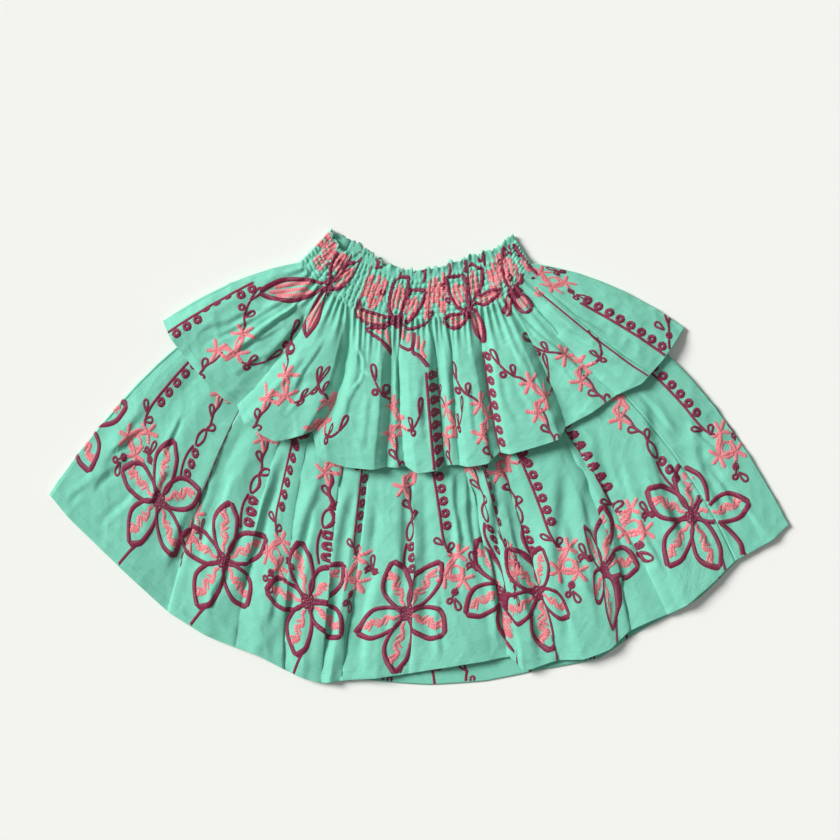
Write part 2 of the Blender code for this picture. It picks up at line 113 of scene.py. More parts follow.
LOWER_FRONT_FOLDS = [
    Fold(-124, -265, 120, -407, -44, 0.5, 1),  # left edge
    Fold(-121, -262, 103, -386, -69, 3, 2.5),  # edge swell
    Fold(-118, -253, 79, -356, -98, 0.5, 3.5),  # small crease
    Fold(-112, -235, 64, -318, -134, 4, 6.5),  # crest
    Fold(-107, -205, 34, -276, -173, 0.5, 1),  # crevice
    Fold(-98, -184, 12, -235, -198, 5.5, 5.5),  # crest
    Fold(-90, -160, 1, -204, -211, 0.5, 2),  # crevice
    Fold(-82, -141, -7, -178, -220, 4, 6.5),  # crest
    Fold(-76, -131, -15, -150, -235, 2, 2),  # crevice
    Fold(-69, -112, -20, -128, -245, 6.5, 6.5),  # crest
    Fold(-63, -89, -26, -111, -250, 3, 2.5),  # crevice
    Fold(-54, -67, -29, -99, -250, 7, 8),  # sharp crest
    Fold(-47, -56, -33, -85, -248, 1.5, 2),  # crevice
    Fold(-36, -32, -36, -47, -245, 5, 7),  # crest
    Fold(-25, -6, -37, -10, -240, 1.5, 2.5),  # crevice
    Fold(-14, 18, -38, 31, -233, 4, 7),  # crest
    Fold(-6, 40, -38, 69, -227, 3.5, 6.5),  # swell
    Fold(3, 61, -36, 101, -222, 0, 1),  # crevice
    Fold(12, 76, -34, 116, -237, 6.5, 7),  # narrow crest
    Fold(23, 96, -30, 152, -226, 0.5, 2),  # broad crevice
    Fold(34, 114, -25, 182, -224, 5.5, 8),  # broad pleat, left
    Fold(52, 163, -16, 211, -213, 6.5, 7),  # broad pleat, right
    Fold(61, 174, -13, 230, -195, 0.5, 2),  # crevice
    Fold(67, 180, -11, 252, -184, 1.5, 4.5),  # small crest
    Fold(74, 188, -8, 277, -174, 0, 1),  # deep crevice
    Fold(85, 204, -1, 296, -164, 4, 6.5),  # swell
    Fold(96, 229, 14, 322, -142, 5.5, 5.5),  # right crest
    Fold(105, 252, 38, 349, -116, 3, 3.5),  # side seam
    Fold(109, 263, 57, 369, -105, 1.5, 3.5),  # right crease
    Fold(112, 272, 81, 391, -92, 3, 3.5),  # edge swell
    Fold(116, 271, 113, 407, -77, 0.5, 1),  # right edge
]
LOWER_SEAM_FOLD = 27

LOWER_BACK_FOLDS = [LOWER_FRONT_FOLDS[0], *(Fold(*row, 0, 0) for row in (
    (-111, -235, 67, -340, -103), (-92, -188, 29, -263, -175), (-74, -136, 1, -173, -216),
    (-54, -81, -15, -103, -242), (-34, -32, -24, -37, -250), (-14, 14, -26, 12, -253),
    (6, 62, -24, 73, -249), (28, 106, -15, 133, -237), (47, 150, -2, 199, -224),
    (67, 190, 12, 243, -194), (85, 223, 34, 309, -158), (102, 252, 67, 359, -109),
)), LOWER_FRONT_FOLDS[-1]]

# Places (x, y) along the heading's edge, front and back, and the lowest shirring row.
HEADING_FRONT = [(-94, 251), (-86, 232), (-76, 227), (-53, 227), (-30, 213), (1, 209),
                 (34, 217), (65, 228), (85, 233), (101, 246)]
HEADING_BACK = [(-94, 251), (-74, 244), (-56, 232), (-30, 211), (1, 207), (34, 213),
                (65, 226), (85, 231), (101, 246)]
GATHER_ROW = [(-131, 212), (-118, 191), (-98, 176), (-76, 163), (-26, 150), (23, 152),
              (56, 158), (84, 166), (102, 179), (122, 211)]

# Where a fold starts to rise below the gathered row, and where it has its full rise.
UPPER_RISING = (0.0, 0.35)
LOWER_RISING = (0.15, 0.5)

# How far the height of the flounce's back, of the lower back and of all the layers under
# the flounce is spread outwards, and how far it is then eased.
OVER_FLOUNCE, OVER_LOWER_BACK, OVER_STACK = (30.0, 24.0), (12.0, 8.0), (14.0, 8.0)

# How far down the flounce its raised band reaches, and the points taken across and down
# a sheet for its height.
BAND_REACH = 0.3
DENSE_ACROSS, DENSE_DOWN = 480, 220

# How sharply the cloth bends at a fold.
CRISP = 0.62

# Taken off a grid's count so that a place in it always has a next row or column.
PAST_LAST = 1.001

# A length that stands for none.
FAR = 1e9


def smooth(x):
    """Ease from 0 to 1."""
    x = np.clip(x, 0.0, 1.0)
    return x * x * (3.0 - 2.0 * x)


def spline(knots, value_at, s, crisp=0.0):
    """Smooth curve through rows of values at uneven knots. value_at(j) gives row j.
    crisp is how far it goes towards straight pieces with a bend at each knot."""
    last = len(knots) - 1
    i = np.clip(np.searchsorted(knots, s, side="right") - 1, 0, last - 1)
    before = np.maximum(i - 1, 0)
    after = np.minimum(i + 2, last)
    width = knots[i + 1] - knots[i]
    w = ((s - knots[i]) / width)[..., None]
    start, end = value_at(i), value_at(i + 1)
    slope_start = (end - value_at(before)) * (width / (knots[i + 1] - knots[before]))[..., None]
    slope_end = (value_at(after) - start) * (width / (knots[after] - knots[i]))[..., None]
    curved = ((2 * w**3 - 3 * w**2 + 1) * start + (w**3 - 2 * w**2 + w) * slope_start
              + (3 * w**2 - 2 * w**3) * end + (w**3 - w**2) * slope_end)
    return (1 - crisp) * curved + crisp * ((1 - w) * start + w * end)


def reach_along(points):
    """Length from the first of a line of points to each."""
    return np.concatenate([[0.0], np.cumsum(np.linalg.norm(np.diff(points, axis=0), axis=1))])


def curve_y(points, x):
    """Y of the smooth curve through points at x."""
    places = np.array(points, float)
    x = np.clip(x, places[0, 0], places[-1, 0])
    return spline(places[:, 0], lambda j: places[j, 1:], x)[..., 0]


class Sheet:
    """One side of a tier: folds that run from its gathered row to its hem."""

    def __init__(self, folds, heading, drop, rising, layer):
        self.table = np.array(folds, float)
        self.heading = heading
        self.drop = drop
        self.rising = rising
        self.layer = layer
        ends = self.table[:, 1:5]
        steps = np.linalg.norm(np.diff(ends, axis=0), axis=1) ** 0.5
        self.knots = np.concatenate([[0.0], np.cumsum(steps)]) / steps.sum()

    def row_point(self, x):
        """Place on the gathered row."""
        return np.stack([x, curve_y(GATHER_ROW, x) - self.drop], -1)

    def heading_point(self, x):
        """Place on the heading's edge above the row's x."""
        left, right = self.heading[0][0], self.heading[-1][0]
        share = (x - self.table[0, 0]) / (self.table[-1, 0] - self.table[0, 0])
        edge_x = left + share * (right - left)
        return np.stack([edge_x, curve_y(self.heading, edge_x)], -1)

    def fold_path(self, j, t):
        """Place and rise of fold j at t: 0 at the row, 1 at the hem, -1 at the heading."""
        row = self.table[j]
        down = np.clip(t, 0.0, 1.0)[..., None]
        start = self.row_point(row[..., 0])
        place = ((1 - down) * (1 - 2 * down) * start + 4 * down * (1 - down) * row[..., 1:3]
                 + down * (2 * down - 1) * row[..., 3:5])
        if self.heading:
            up = np.clip(-t, 0.0, 1.0)[..., None]
            place = place * (1 - up) + self.heading_point(row[..., 0]) * up
        begin, full = self.rising
        rise = row[..., 5] * smooth((t - begin) / (full - begin))
        rise = rise + (row[..., 6] - row[..., 5]) * smooth(2 * t - 1)
        return np.concatenate([place, rise[..., None]], -1)

    def point(self, s, t):
        """Outer point at s across, 0 to 1 from left to right, and t down."""
        folded = spline(self.knots, lambda j: self.fold_path(j, t), s, CRISP)
        rise = np.maximum(folded[..., 2], 0.0)
        z = self.layer(folded[..., 0], folded[..., 1], rise, t)
        return np.stack([folded[..., 0], folded[..., 1], z], -1)


def sample(grid, column, row):
    """Values of a grid between its four nearest places."""
    column = np.clip(column, 0, grid.shape[0] - PAST_LAST)
    row = np.clip(row, 0, grid.shape[1] - PAST_LAST)
    i, j = column.astype(int), row.astype(int)
    fi, fj = column - i, row - j
    if grid.ndim == 3:
        fi, fj = fi[..., None], fj[..., None]
    return ((1 - fi) * (1 - fj) * grid[i, j] + fi * (1 - fj) * grid[i + 1, j]
            + (1 - fi) * fj * grid[i, j + 1] + fi * fj * grid[i + 1, j + 1])


class HeightMap:
    """Height of the layers laid so far, spread out so that what lies on it stays clear."""

    # Side of a cell and half the map's sides.
    CELL = 4.0
    HALF_X = 432.0
    HALF_Y = 276.0

    def __init__(self, points, reach, ease):
        shape = (int(2 * self.HALF_X / self.CELL) + 1, int(2 * self.HALF_Y / self.CELL) + 1)
        heights = np.zeros(shape)
        for laid in points:
            flat = laid.reshape(-1, 3)
            ix = np.rint((flat[:, 0] + self.HALF_X) / self.CELL).astype(int)
            iy = np.rint((flat[:, 1] + self.HALF_Y) / self.CELL).astype(int)
            np.maximum.at(heights, (ix, iy), flat[:, 2])
        self.heights = self.eased(self.spread(heights, reach + ease), ease)

    def spread(self, heights, reach):
        """Highest value within reach of each cell."""
        cells = int(math.ceil(reach / self.CELL))
        padded = np.pad(heights, cells)
        result = heights.copy()
        for dx in range(-cells, cells + 1):
            for dy in range(-cells, cells + 1):
                if math.hypot(dx, dy) <= cells + 0.5:
                    shifted = padded[cells + dx:cells + dx + heights.shape[0],
                                     cells + dy:cells + dy + heights.shape[1]]
                    result = np.maximum(result, shifted)
        return result

    def eased(self, heights, ease):
        """Mean over a square of cells, taken one way and then the other."""
        cells = int(ease / (self.CELL * math.sqrt(2)))
        window = np.ones(2 * cells + 1) / (2 * cells + 1)
        for axis in (0, 1):
            padding = [(0, 0), (0, 0)]
            padding[axis] = (cells, cells)
            padded = np.pad(heights, padding, mode="edge")
            heights = np.apply_along_axis(np.convolve, axis, padded, window, "valid")
        return heights

    def at(self, x, y):
        """Height at x, y, between the four cells round it."""
        return sample(self.heights, (x + self.HALF_X) / self.CELL, (y + self.HALF_Y) / self.CELL)


class Tube:
    """A tier as a flattened tube. u runs round it: 0 to 1 over the front from left to
    right, 1 to 2 round the right fold, 2 to 3 back under it and 3 to 4 round the left."""

    def __init__(self, front, back, seam_fold, top):
        self.front = front
        self.back = back
        self.seam_fold = seam_fold
        self.top = top

    def edge_outward(self, t, right):
        """Unit vector out of the tube across its right or left fold."""
        s = np.where(right, 1.0, 0.0)
        step = 0.01
        ahead = self.front.point(s, np.minimum(t + step, 1.0))
        behind = self.front.point(s, np.maximum(t - step, self.top))
        along = (ahead - behind)[..., :2]
        along = along / np.linalg.norm(along, axis=-1, keepdims=True)
        side = np.where(right, 1.0, -1.0)
        return np.stack([-along[..., 1] * side, along[..., 0] * side, np.zeros_like(t)], -1)

    def base(self, u, t):
        """Outer face of the tube before anything is raised on it."""
        t = np.clip(t, self.top, 1.0)
        u = np.mod(u, 4.0)
        over = np.where(u <= 1, u, np.where(u < 3, 1.0, 0.0))
        under = np.where(u < 2, 1.0, np.where(u <= 3, 3 - u, 0.0))
        turn = math.pi * (np.clip(u - 1, 0, 1) + np.clip(u - 3, 0, 1))
        share = (0.5 + 0.5 * np.cos(turn))[..., None]
        bulge = (EDGE_BULGE * np.abs(np.sin(turn)))[..., None]
        outward = self.edge_outward(t, u < 2)
        return (self.front.point(over, t) * share + self.back.point(under, t) * (1 - share)
                + outward * bulge)

    def rib_share(self, s):
        """Share of the gathered row's width at s."""
        row_x = np.interp(s, self.front.knots, self.front.table[:, 0])
        return (row_x - self.front.table[0, 0]) / np.ptp(self.front.table[:, 0])


def dense_points(sheet, top):
    """Close points all over a sheet, for the layers that lie on it."""
    s, t = np.meshgrid(np.linspace(0, 1, DENSE_ACROSS), np.linspace(top, 1, DENSE_DOWN), indexing="ij")
    return sheet.point(s, t)


def on_floor(x, y, rise, t):
    """The back of the upper tier rests on the floor."""
    return np.zeros_like(x)


def lying_on(layers, band=0.0):
    """A layer over those in a height map, with its folds' rise and a band at its top."""

    def layer(x, y, rise, t):
        raised = band * smooth((BAND_REACH - t) / BAND_REACH)
        return layers.at(x, y) + LAYER_GAP + WALL + rise + raised

    return layer


def build_tiers():
    """Lay the four sheets in order, each over those below it."""
    upper_back = Sheet(UPPER_BACK_FOLDS, HEADING_BACK, 0.0, UPPER_RISING, on_floor)
    back_map = HeightMap([dense_points(upper_back, 0.0) + (0, 0, WALL + SEAM_GAP)], *OVER_FLOUNCE)

    def over_flounce(x, y, rise, t):
        return back_map.at(x, y)

    lower_back = Sheet(LOWER_BACK_FOLDS, None, LOWER_TOP_DROP, LOWER_RISING, over_flounce)
    lower_back_cloth = dense_points(lower_back, 0.0) + (0, 0, WALL)
    over_lower_back = lying_on(HeightMap([lower_back_cloth], *OVER_LOWER_BACK))
    lower_front = Sheet(LOWER_FRONT_FOLDS, None, LOWER_TOP_DROP, LOWER_RISING, over_lower_back)
    upper_back_cloth = dense_points(upper_back, -1.0) + (0, 0, WALL)
    stack = [upper_back_cloth, lower_back_cloth, dense_points(lower_front, 0.0)]
    over_stack = lying_on(HeightMap(stack, *OVER_STACK), BAND_RISE)
    upper_front = Sheet(UPPER_FRONT_FOLDS, HEADING_FRONT, 0.0, UPPER_RISING, over_stack)
    upper = Tube(upper_front, upper_back, UPPER_SEAM_FOLD, -1.0)
    lower = Tube(lower_front, lower_back, LOWER_SEAM_FOLD, 0.0)
    return upper, lower


# Thickness of the cloth that shows, and how far threads sink into it.
SHELL = 0.7
SUNK = 0.15

# A crease is a soft ridge with a trough on one side, from one place to another as seen
# from above. A negative depth turns it into a trough with a ridge beside it.
Crease = namedtuple("Crease", "x0 y0 x1 y1 width depth")

UPPER_CREASES = [Crease(*row) for row in (
    (-206, 112, -128, 170, 4, 1.5), (-190, 132, -130, 172, 3, -1.4), (-176, 96, -122, 160, 5, 1.4),
    (-158, 100, -120, 164, 3, -1.3), (-226, 128, -136, 176, 4, 1.2), (190, 84, 108, 156, 4, 1.4),
    (212, 104, 116, 166, 4, 1.3), (166, 84, 104, 148, 4, -1.2), (-216, 150, -150, 168, 5, 1.0),
    (-236, 124, -160, 150, 4, -0.9), (-222, 104, -150, 143, 4, 0.9), (-246, 138, -196, 152, 6, 0.8),
    (-206, 88, -160, 116, 5, 0.8), (-150, 150, -126, 178, 3, 1.0), (-170, 58, -122, 112, 6, 0.9),
    (-150, 44, -118, 86, 5, -0.8), (-140, 70, -104, 128, 4, 0.9), (-66, 120, -60, 92, 3, 1.1),
    (-60, 92, -44, 80, 3, 1.1), (-60, 92, -72, 74, 3, 0.9), (-84, 40, -66, 84, 5, 0.8),
    (-62, 4, -54, 70, 6, 0.7), (-24, 40, -24, 110, 3, 0.7), (2, 20, 2, 96, 5, 0.6),
    (12, 0, 8, 64, 5, -0.6), (62, 10, 54, 84, 4, 0.7), (104, 30, 84, 92, 6, 0.8),
    (128, 34, 100, 100, 5, -0.7), (86, 104, 104, 84, 3, 0.7), (102, 124, 112, 96, 3, 0.8),
    (132, 60, 112, 118, 4, 0.7), (176, 76, 144, 108, 4, 0.8), (208, 88, 158, 128, 4, -0.8),
    (236, 100, 170, 144, 4, 0.9), (214, 130, 150, 166, 4, 0.7), (262, 124, 206, 158, 5, 0.7),
    (176, 150, 140, 180, 4, 0.8),
)]

LOWER_CREASES = [Crease(*row) for row in (
    (-344, 2, -300, 34, 4, 0.9), (-366, -40, -318, 4, 6, 0.8), (-352, -78, -306, -34, 5, -0.8),
    (-390, -50, -352, -20, 6, 0.7), (-284, -4, -262, 46, 4, 0.9), (-300, -60, -276, -12, 5, 0.9),
    (-280, -120, -252, -52, 6, 0.8), (-252, -90, -226, -22, 5, -0.8), (-222, -150, -196, -66, 7, 0.8),
    (-236, -176, -216, -128, 5, 0.8), (-186, -110, -160, -20, 6, 0.8), (-168, -190, -150, -96, 7, 0.9),
    (-134, -150, -116, -52, 6, -0.8), (-108, -206, -98, -120, 6, 0.8), (-84, -232, -74, -150, 6, 0.8),
    (-58, -140, -52, -50, 7, 0.8), (-36, -210, -30, -120, 7, -0.8), (-4, -200, -2, -96, 7, 0.8),
    (22, -226, 20, -150, 6, 0.8), (46, -160, 36, -60, 6, -0.7), (88, -214, 78, -120, 5, 0.8),
    (112, -120, 92, -40, 5, 0.8), (134, -196, 116, -110, 6, 0.8), (166, -196, 146, -116, 6, -0.7),
    (190, -160, 158, -70, 7, 0.9), (222, -150, 196, -80, 6, 0.9), (236, -120, 204, -44, 6, -0.8),
    (272, -134, 238, -62, 5, 0.9), (290, -90, 250, -20, 6, 0.8), (243, 73, 282, 28, 5, 1.0),
    (304, -52, 268, 2, 5, 0.9), (322, -106, 296, -60, 5, 0.8), (352, -60, 316, -8, 6, 0.8),
    (378, -84, 344, -40, 6, -0.8), (330, 0, 296, 40, 5, 0.7),
)]

# Broad soft folds of the lower tier, from the hem up.
LOWER_FOLDS = [Crease(*row) for row in (
    (-358, -30, -300, 60, 11, 0.9), (-288, -146, -190, 56, 12, 1.2), (-246, -120, -204, -12, 7, -0.9),
    (-214, -184, -146, 18, 10, 1.3), (-162, -208, -108, -16, 9, 1.3), (-112, -234, -74, -18, 10, 1.6),
    (-66, -232, -52, -120, 10, -0.9), (-24, -150, -14, -14, 10, 1.1), (6, -228, -4, -16, 12, 1.2),
    (46, -110, 36, -14, 5, 0.8), (60, -120, 50, -12, 5, 0.9), (74, -140, 60, -10, 6, 0.9),
    (92, -222, 76, -12, 7, 1.6), (128, -226, 110, -96, 9, 1.1), (154, -220, 150, 4, 12, 1.4),
    (196, -190, 174, 20, 9, 0.9), (232, -162, 186, 40, 12, 1.4), (262, -140, 214, 10, 8, -0.8),
    (292, -130, 242, 76, 11, 1.2), (342, -96, 296, 40, 10, 1.0),
)]

UNDER_CREASES = [Crease(*row) for row in (
    (-350, -66, -250, 20, 9, 0.9), (-296, -130, -214, -30, 8, -0.9), (-232, -170, -150, -40, 9, 1.0),
    (-160, -200, -110, -60, 9, 0.9), (-90, -226, -66, -80, 10, -0.9), (-22, -228, -10, -100, 9, 0.9),
    (50, -226, 40, -90, 9, 0.9), (116, -210, 84, -70, 10, -0.9), (186, -180, 136, -60, 9, 0.9),
    (252, -150, 186, -40, 9, 1.0), (318, -100, 236, 0, 9, -0.9), (366, -60, 276, 40, 8, 0.8),
    (-230, 128, -150, 160, 6, 0.7), (-150, 70, -104, 140, 7, -0.7), (-60, 40, -40, 120, 7, 0.8),
    (30, 40, 22, 130, 7, 0.7), (120, 66, 84, 140, 7, 0.8), (226, 120, 150, 166, 6, -0.7),
)]

# Small gathers under the shirring: X on the gathered row, how far down they reach as a
# share of the flounce, half width as a share of the row, and height.
Gather = namedtuple("Gather", "row_x reach half rise")

GATHERS = [Gather(*row) for row in (
    (-128, 0.55, 0.006, 1.5), (-124, 0.30, 0.005, 1.2), (-119, 0.62, 0.007, 1.7), (-113, 0.35, 0.006, 1.6),
    (-108, 0.50, 0.006, 1.4), (-103, 0.28, 0.005, 1.5), (-95, 0.40, 0.008, 1.8), (-90, 0.22, 0.006, 1.5),
    (-85, 0.34, 0.006, 1.6), (-80, 0.20, 0.005, 1.3), (-72, 0.26, 0.006, 1.7), (-66, 0.42, 0.007, 1.9),
    (-60, 0.24, 0.006, 1.6), (-54, 0.36, 0.006, 1.6), (-47, 0.20, 0.007, 1.4), (-41, 0.32, 0.006, 1.5),
    (-35, 0.18, 0.005, 1.3), (-28, 0.30, 0.006, 1.5), (-22, 0.24, 0.006, 1.5), (-16, 0.38, 0.006, 1.3),
    (-9, 0.20, 0.007, 1.6), (-3, 0.30, 0.006, 1.6), (3, 0.22, 0.006, 1.5), (9, 0.34, 0.006, 1.4),
    (17, 0.26, 0.006, 1.5), (22, 0.18, 0.005, 1.3), (28, 0.40, 0.007, 1.7), (36, 0.24, 0.006, 1.5),
    (41, 0.30, 0.006, 1.5), (48, 0.20, 0.006, 1.4), (53, 0.34, 0.006, 1.6), (59, 0.22, 0.005, 1.4),
    (67, 0.28, 0.006, 1.5), (74, 0.40, 0.007, 1.7), (80, 0.24, 0.006, 1.6), (86, 0.34, 0.006, 1.6),
    (92, 0.26, 0.006, 1.5), (98, 0.45, 0.006, 1.5), (103, 0.60, 0.006, 1.5), (107, 0.38, 0.005, 1.4),
    (112, 0.66, 0.006, 1.5), (117, 0.44, 0.005, 1.2),
)]

# A tuck is a crevice where the cloth of one side rolls over the other: its fold's number,
# the side on top (1 left, -1 right), how far that edge leans over and how much it rises.
Tuck = namedtuple("Tuck", "fold over lean roll")

UPPER_TUCKS = [Tuck(*row) for row in (
    (5, -1, 3.0, 1.2), (9, 1, 4.4, 1.6), (13, 1, 3.6, 1.2), (15, -1, 2.8, 1.0), (18, 1, 3.4, 1.0),
    (20, 1, 2.0, 0.8), (23, 1, 4.2, 1.4), (26, 1, 3.8, 1.0), (28, -1, 3.6, 1.4),
)]
LOWER_TUCKS = [Tuck(*row) for row in (
    (4, -1, 2.0, 0.6), (6, 1, 1.6, 0.5), (8, 1, 2.4, 0.8), (10, 1, 3.0, 1.0), (12, -1, 2.2, 0.6),
    (14, -1, 1.4, 0.6), (17, -1, 3.6, 1.2), (19, 1, 2.0, 0.8), (22, 1, 3.8, 1.2), (24, -1, 3.0, 1.0),
)]

# Waves of the faint rumple: turns round the tube, turns down it, phase and height.
RUMPLE = [
    (31, 2.1, 0.4, 0.20), (47, 1.3, 2.1, 0.16), (23, 3.4, 4.0, 0.18), (67, 2.7, 1.2, 0.11),
    (38, 5.2, 5.1, 0.10), (55, 4.1, 3.3, 0.10), (17, 6.3, 0.9, 0.14), (89, 3.0, 2.7, 0.07),
    (29, 9.1, 1.7, 0.06), (43, 11.3, 4.4, 0.05),
]

# How far the cloth of the underside is held off the floor by the threads under it.
UNDER_LIFT = 0.4

# Number of the small sharp wrinkles' waves, and their height as a share of their length.
CRUMPLES = 9
CRUMPLE_RISE = 0.022

# How far past the side folds the gathers and ribs of the front reach.
SIDE_FADE = 0.3

# All the gathers' reach and height as shares of the table's, and how they widen downwards.
GATHER_REACH, GATHER_RISE, GATHER_SPREAD = 1.25, 2.0, 1.2

# A crease's steeper side, the fade at its ends, and the trough beside its ridge: depth,
# distance and half width.
CREASE_STEEP, CREASE_FADE = 1.9, 0.3
TROUGH_DEPTH, TROUGH_PLACE, TROUGH_WIDTH = 0.55, 1.7, 1.3

# A row of the grid: t, and its height above the hem.
Line = namedtuple("Line", "t above_hem")

# Height of the hem's stitches and of its turned edge, and where the even rows end.
STITCH_LINE = 8.3
HEM_EDGE = 9.0
HEM_CLEAR = 13.2
HEM_LINES = (12.0, 10.2, 9.4, 8.8, STITCH_LINE, 7.8, 7.0, 5.0, 3.0, 1.4, 0.5, 0.0)


def lines_down(steps):
    """Rows at steps and then at the hem's lines."""
    return [Line(t, 0.0) for t in steps] + [Line(1.0, above) for above in HEM_LINES]


def row_t(line, length):
    """T of a row in each column of a length, which leaves room for the hem's lines."""
    if line.t == 1.0:
        return line.t - line.above_hem / length
    return line.t * np.where(line.t > 0, 1.0 - HEM_CLEAR / length, 1.0)


def wander(place, seed):
    """A slow irregular wave between -1 and 1."""
    return (np.sin(place * 1.0 + seed) + np.sin(place * 1.73 + 2.3 * seed)
            + np.sin(place * 0.61 + 4.1 * seed)) / 3.0


def hump(x, middle, width):
    """A soft hump from 0 to 1, of a half width."""
    return np.exp(-((x - middle) / width) ** 2)


def on_top(u):
    """1 over the front of a tube, fading to 0 just past its side folds."""
    return smooth((u + SIDE_FADE) / SIDE_FADE) * smooth((1 + SIDE_FADE - u) / SIDE_FADE)


def fine_waist(tube, u, t):
    """Ribs, puffs and ruffle of the shirred waist, finer than the solid's."""
    round_u = np.mod(u + 1.0, 4.0) - 1.0
    over = on_top(round_u)
    share = tube.rib_share(np.clip(round_u, 0, 1))
    row = (t - FIRST_SHIRRING) / -FIRST_SHIRRING * (SHIRRING_ROWS - 1)
    drift = 0.22 * wander(share * 60 + np.floor(row) * 5.0, 1.3)
    ribs = np.abs(np.cos(math.pi * (RIBS * share + drift))) ** 0.8
    puff = PINCHED + (1 - PINCHED) * np.abs(np.sin(math.pi * row)) ** 0.7
    uneven = 0.95 + 0.35 * wander(share * 140 + row * 2.1, 0.5)
    shirred = RIB_RISE * ribs * puff * uneven * smooth((0.03 - t) / 0.03)
    wave = 0.5 + 0.5 * np.cos(math.pi * RIBS * share + 2.0 * np.sin(9.0 * share))
    frill = 0.5 + 0.5 * wander(share * 150, 2.2)
    up = smooth((FIRST_SHIRRING - t) / (1 + FIRST_SHIRRING))
    ruffle = up * RUFFLE_RISE * (0.4 * wave + 0.6 * frill) + (1 - up) * RIB_RISE * PINCHED * ribs
    return over * np.where(t < FIRST_SHIRRING, ruffle, shirred)


def gather_relief(tube, u, t, gathers):
    """Narrow ridges that fan from the gathered row and fade."""
    row_x = np.interp(np.clip(u, 0, 1), tube.front.knots, tube.front.table[:, 0])
    width = np.ptp(tube.front.table[:, 0])
    relief = np.zeros_like(u)
    for g in gathers:
        half = g.half * width * (1.0 + GATHER_SPREAD * np.clip(t, 0, 1))
        down = smooth(1.0 - t / (GATHER_REACH * g.reach)) * smooth((t + 0.06) / 0.07)
        relief = relief + GATHER_RISE * g.rise * hump(row_x, g.row_x, half) * down
    return relief * on_top(u)


def crease_relief(points, creases):
    """Soft ridges and troughs from a table of creases."""
    relief = np.zeros(points.shape[:-1])
    for c in creases:
        start = np.array([c.x0, c.y0], float)
        way = np.array([c.x1, c.y1], float) - start
        length = np.linalg.norm(way)
        way = way / length
        rel = points[..., :2] - start
        along = rel @ way / length
        across = (rel[..., 0] * way[1] - rel[..., 1] * way[0]) / c.width
        across = across + 0.35 * np.sin(3.0 * along) + 0.15 * np.sin(9.0 * along + c.x0)
        across = np.where(across > 0, CREASE_STEEP * across, across)
        fade = smooth(along / CREASE_FADE + 0.15) * smooth((1 - along) / CREASE_FADE + 0.15)
        ridge = hump(across, 0, 1) - TROUGH_DEPTH * hump(across, TROUGH_PLACE, TROUGH_WIDTH)
        relief = relief + c.depth * ridge * fade
    return relief


def hem_relief(u, lines):
    """The turned hem, with the groove and puckers along its stitches."""
    above = np.array([line.above_hem if line.t == 1.0 else FAR for line in lines])
    band = np.where(above <= HEM_EDGE, HEM_BAND, 0.0)
    groove = STITCH_GROOVE * hump(above, STITCH_LINE, 1.0)
    pucker = HEM_PUCKER * wander(u * 260, 1.9) * hump(above, STITCH_LINE, 4.0)
    return band + groove + pucker


def rumple_relief(u, t):
    """Faint unevenness, stretched along the folds."""
    relief = np.zeros_like(u)
    for turns, down, phase, rise in RUMPLE:
        relief = relief + rise * np.sin(turns * u + down * t * 3.0 + phase)
    return relief


def crumple_relief(points):
    """Small sharp wrinkles that cross each other, the same on both sides of a seam."""
    x, y = points[..., 0], points[..., 1]
    relief = np.zeros_like(x)
    for k in range(CRUMPLES):
        way = 2.4 * k + 0.7 * np.sin(x / 61.0 + k) + 0.6 * np.sin(y / 47.0 + 2 * k)
        long = 15.0 + 2.6 * k
        bent = x * np.cos(2.4 * k) + y * np.sin(2.4 * k) + 7.0 * np.sin(way)
        ridge = 1.0 - np.abs(np.sin(math.pi * bent / long + k))
        patch = smooth(0.5 + 0.9 * np.sin(x / (23.0 + 3 * k) + 1.9 * k) * np.sin(y / (31.0 + 2 * k) + k))
        relief = relief + CRUMPLE_RISE * long * (ridge**1.6 - 0.35) * patch
    return relief


# Cell of the map of the flounce's inner face, and the gap kept under it.
ROOF_CELL, ROOF_GAP = 3.0, 1.2


def press_under(cloths, roof):
    """Lower the relief of cloths where the flounce lies on them, down to their plain face."""
    inner = (roof.outer - roof.normals * SHELL).reshape(-1, 3)
    corner = inner[:, :2].min(axis=0) - ROOF_CELL
    size = np.ceil((inner[:, :2].max(axis=0) - corner) / ROOF_CELL).astype(int) + 2
    lowest = np.full(size, FAR)
    cell = ((inner[:, :2] - corner) / ROOF_CELL).astype(int)
    np.minimum.at(lowest, (cell[:, 0], cell[:, 1]), inner[:, 2])
    for cloth in cloths:
        cell = np.floor((cloth.outer[..., :2] - corner) / ROOF_CELL).astype(int)
        cell = np.clip(cell, 0, size - 1)
        ceiling = lowest[cell[..., 0], cell[..., 1]] - ROOF_GAP
        pressed = np.maximum(np.minimum(cloth.outer[..., 2], ceiling), cloth.base[..., 2])
        over = (cloth.normals[..., 2] > 0) & (ceiling > 0)
        cloth.outer[..., 2] = np.where(over & (cloth.outer[..., 2] > ceiling), pressed, cloth.outer[..., 2])
        cloth.normals = grid_normals(cloth.outer)


def unit(vectors):
    """Vectors of length one."""
    return vectors / np.maximum(np.linalg.norm(vectors, axis=-1, keepdims=True), 1e-9)


def grid_normals(points):
    """Unit normals out of the outer face of a grid of points."""
    across = np.gradient(points, axis=0)
    down = np.gradient(points, axis=1)
    return unit(np.cross(down, across))


# Step of the heights above the hem at which lengths across a panel are known.
LEVEL = 2.0

# How strongly the creases of each tier and of the underside are raised.
UPPER_STRENGTH, LOWER_STRENGTH, UNDER_STRENGTH = 1.7, 2.5, 0.6

# Rise of the turned hem, depth of its line of stitches and height of the puckers there.
HEM_BAND, STITCH_GROOVE, HEM_PUCKER = 0.2, -0.12, 0.22

# Heights of the cloth at and beside a side seam.
SEAM_PROFILE = (-0.3, 0.1, 0.25, 0.1)

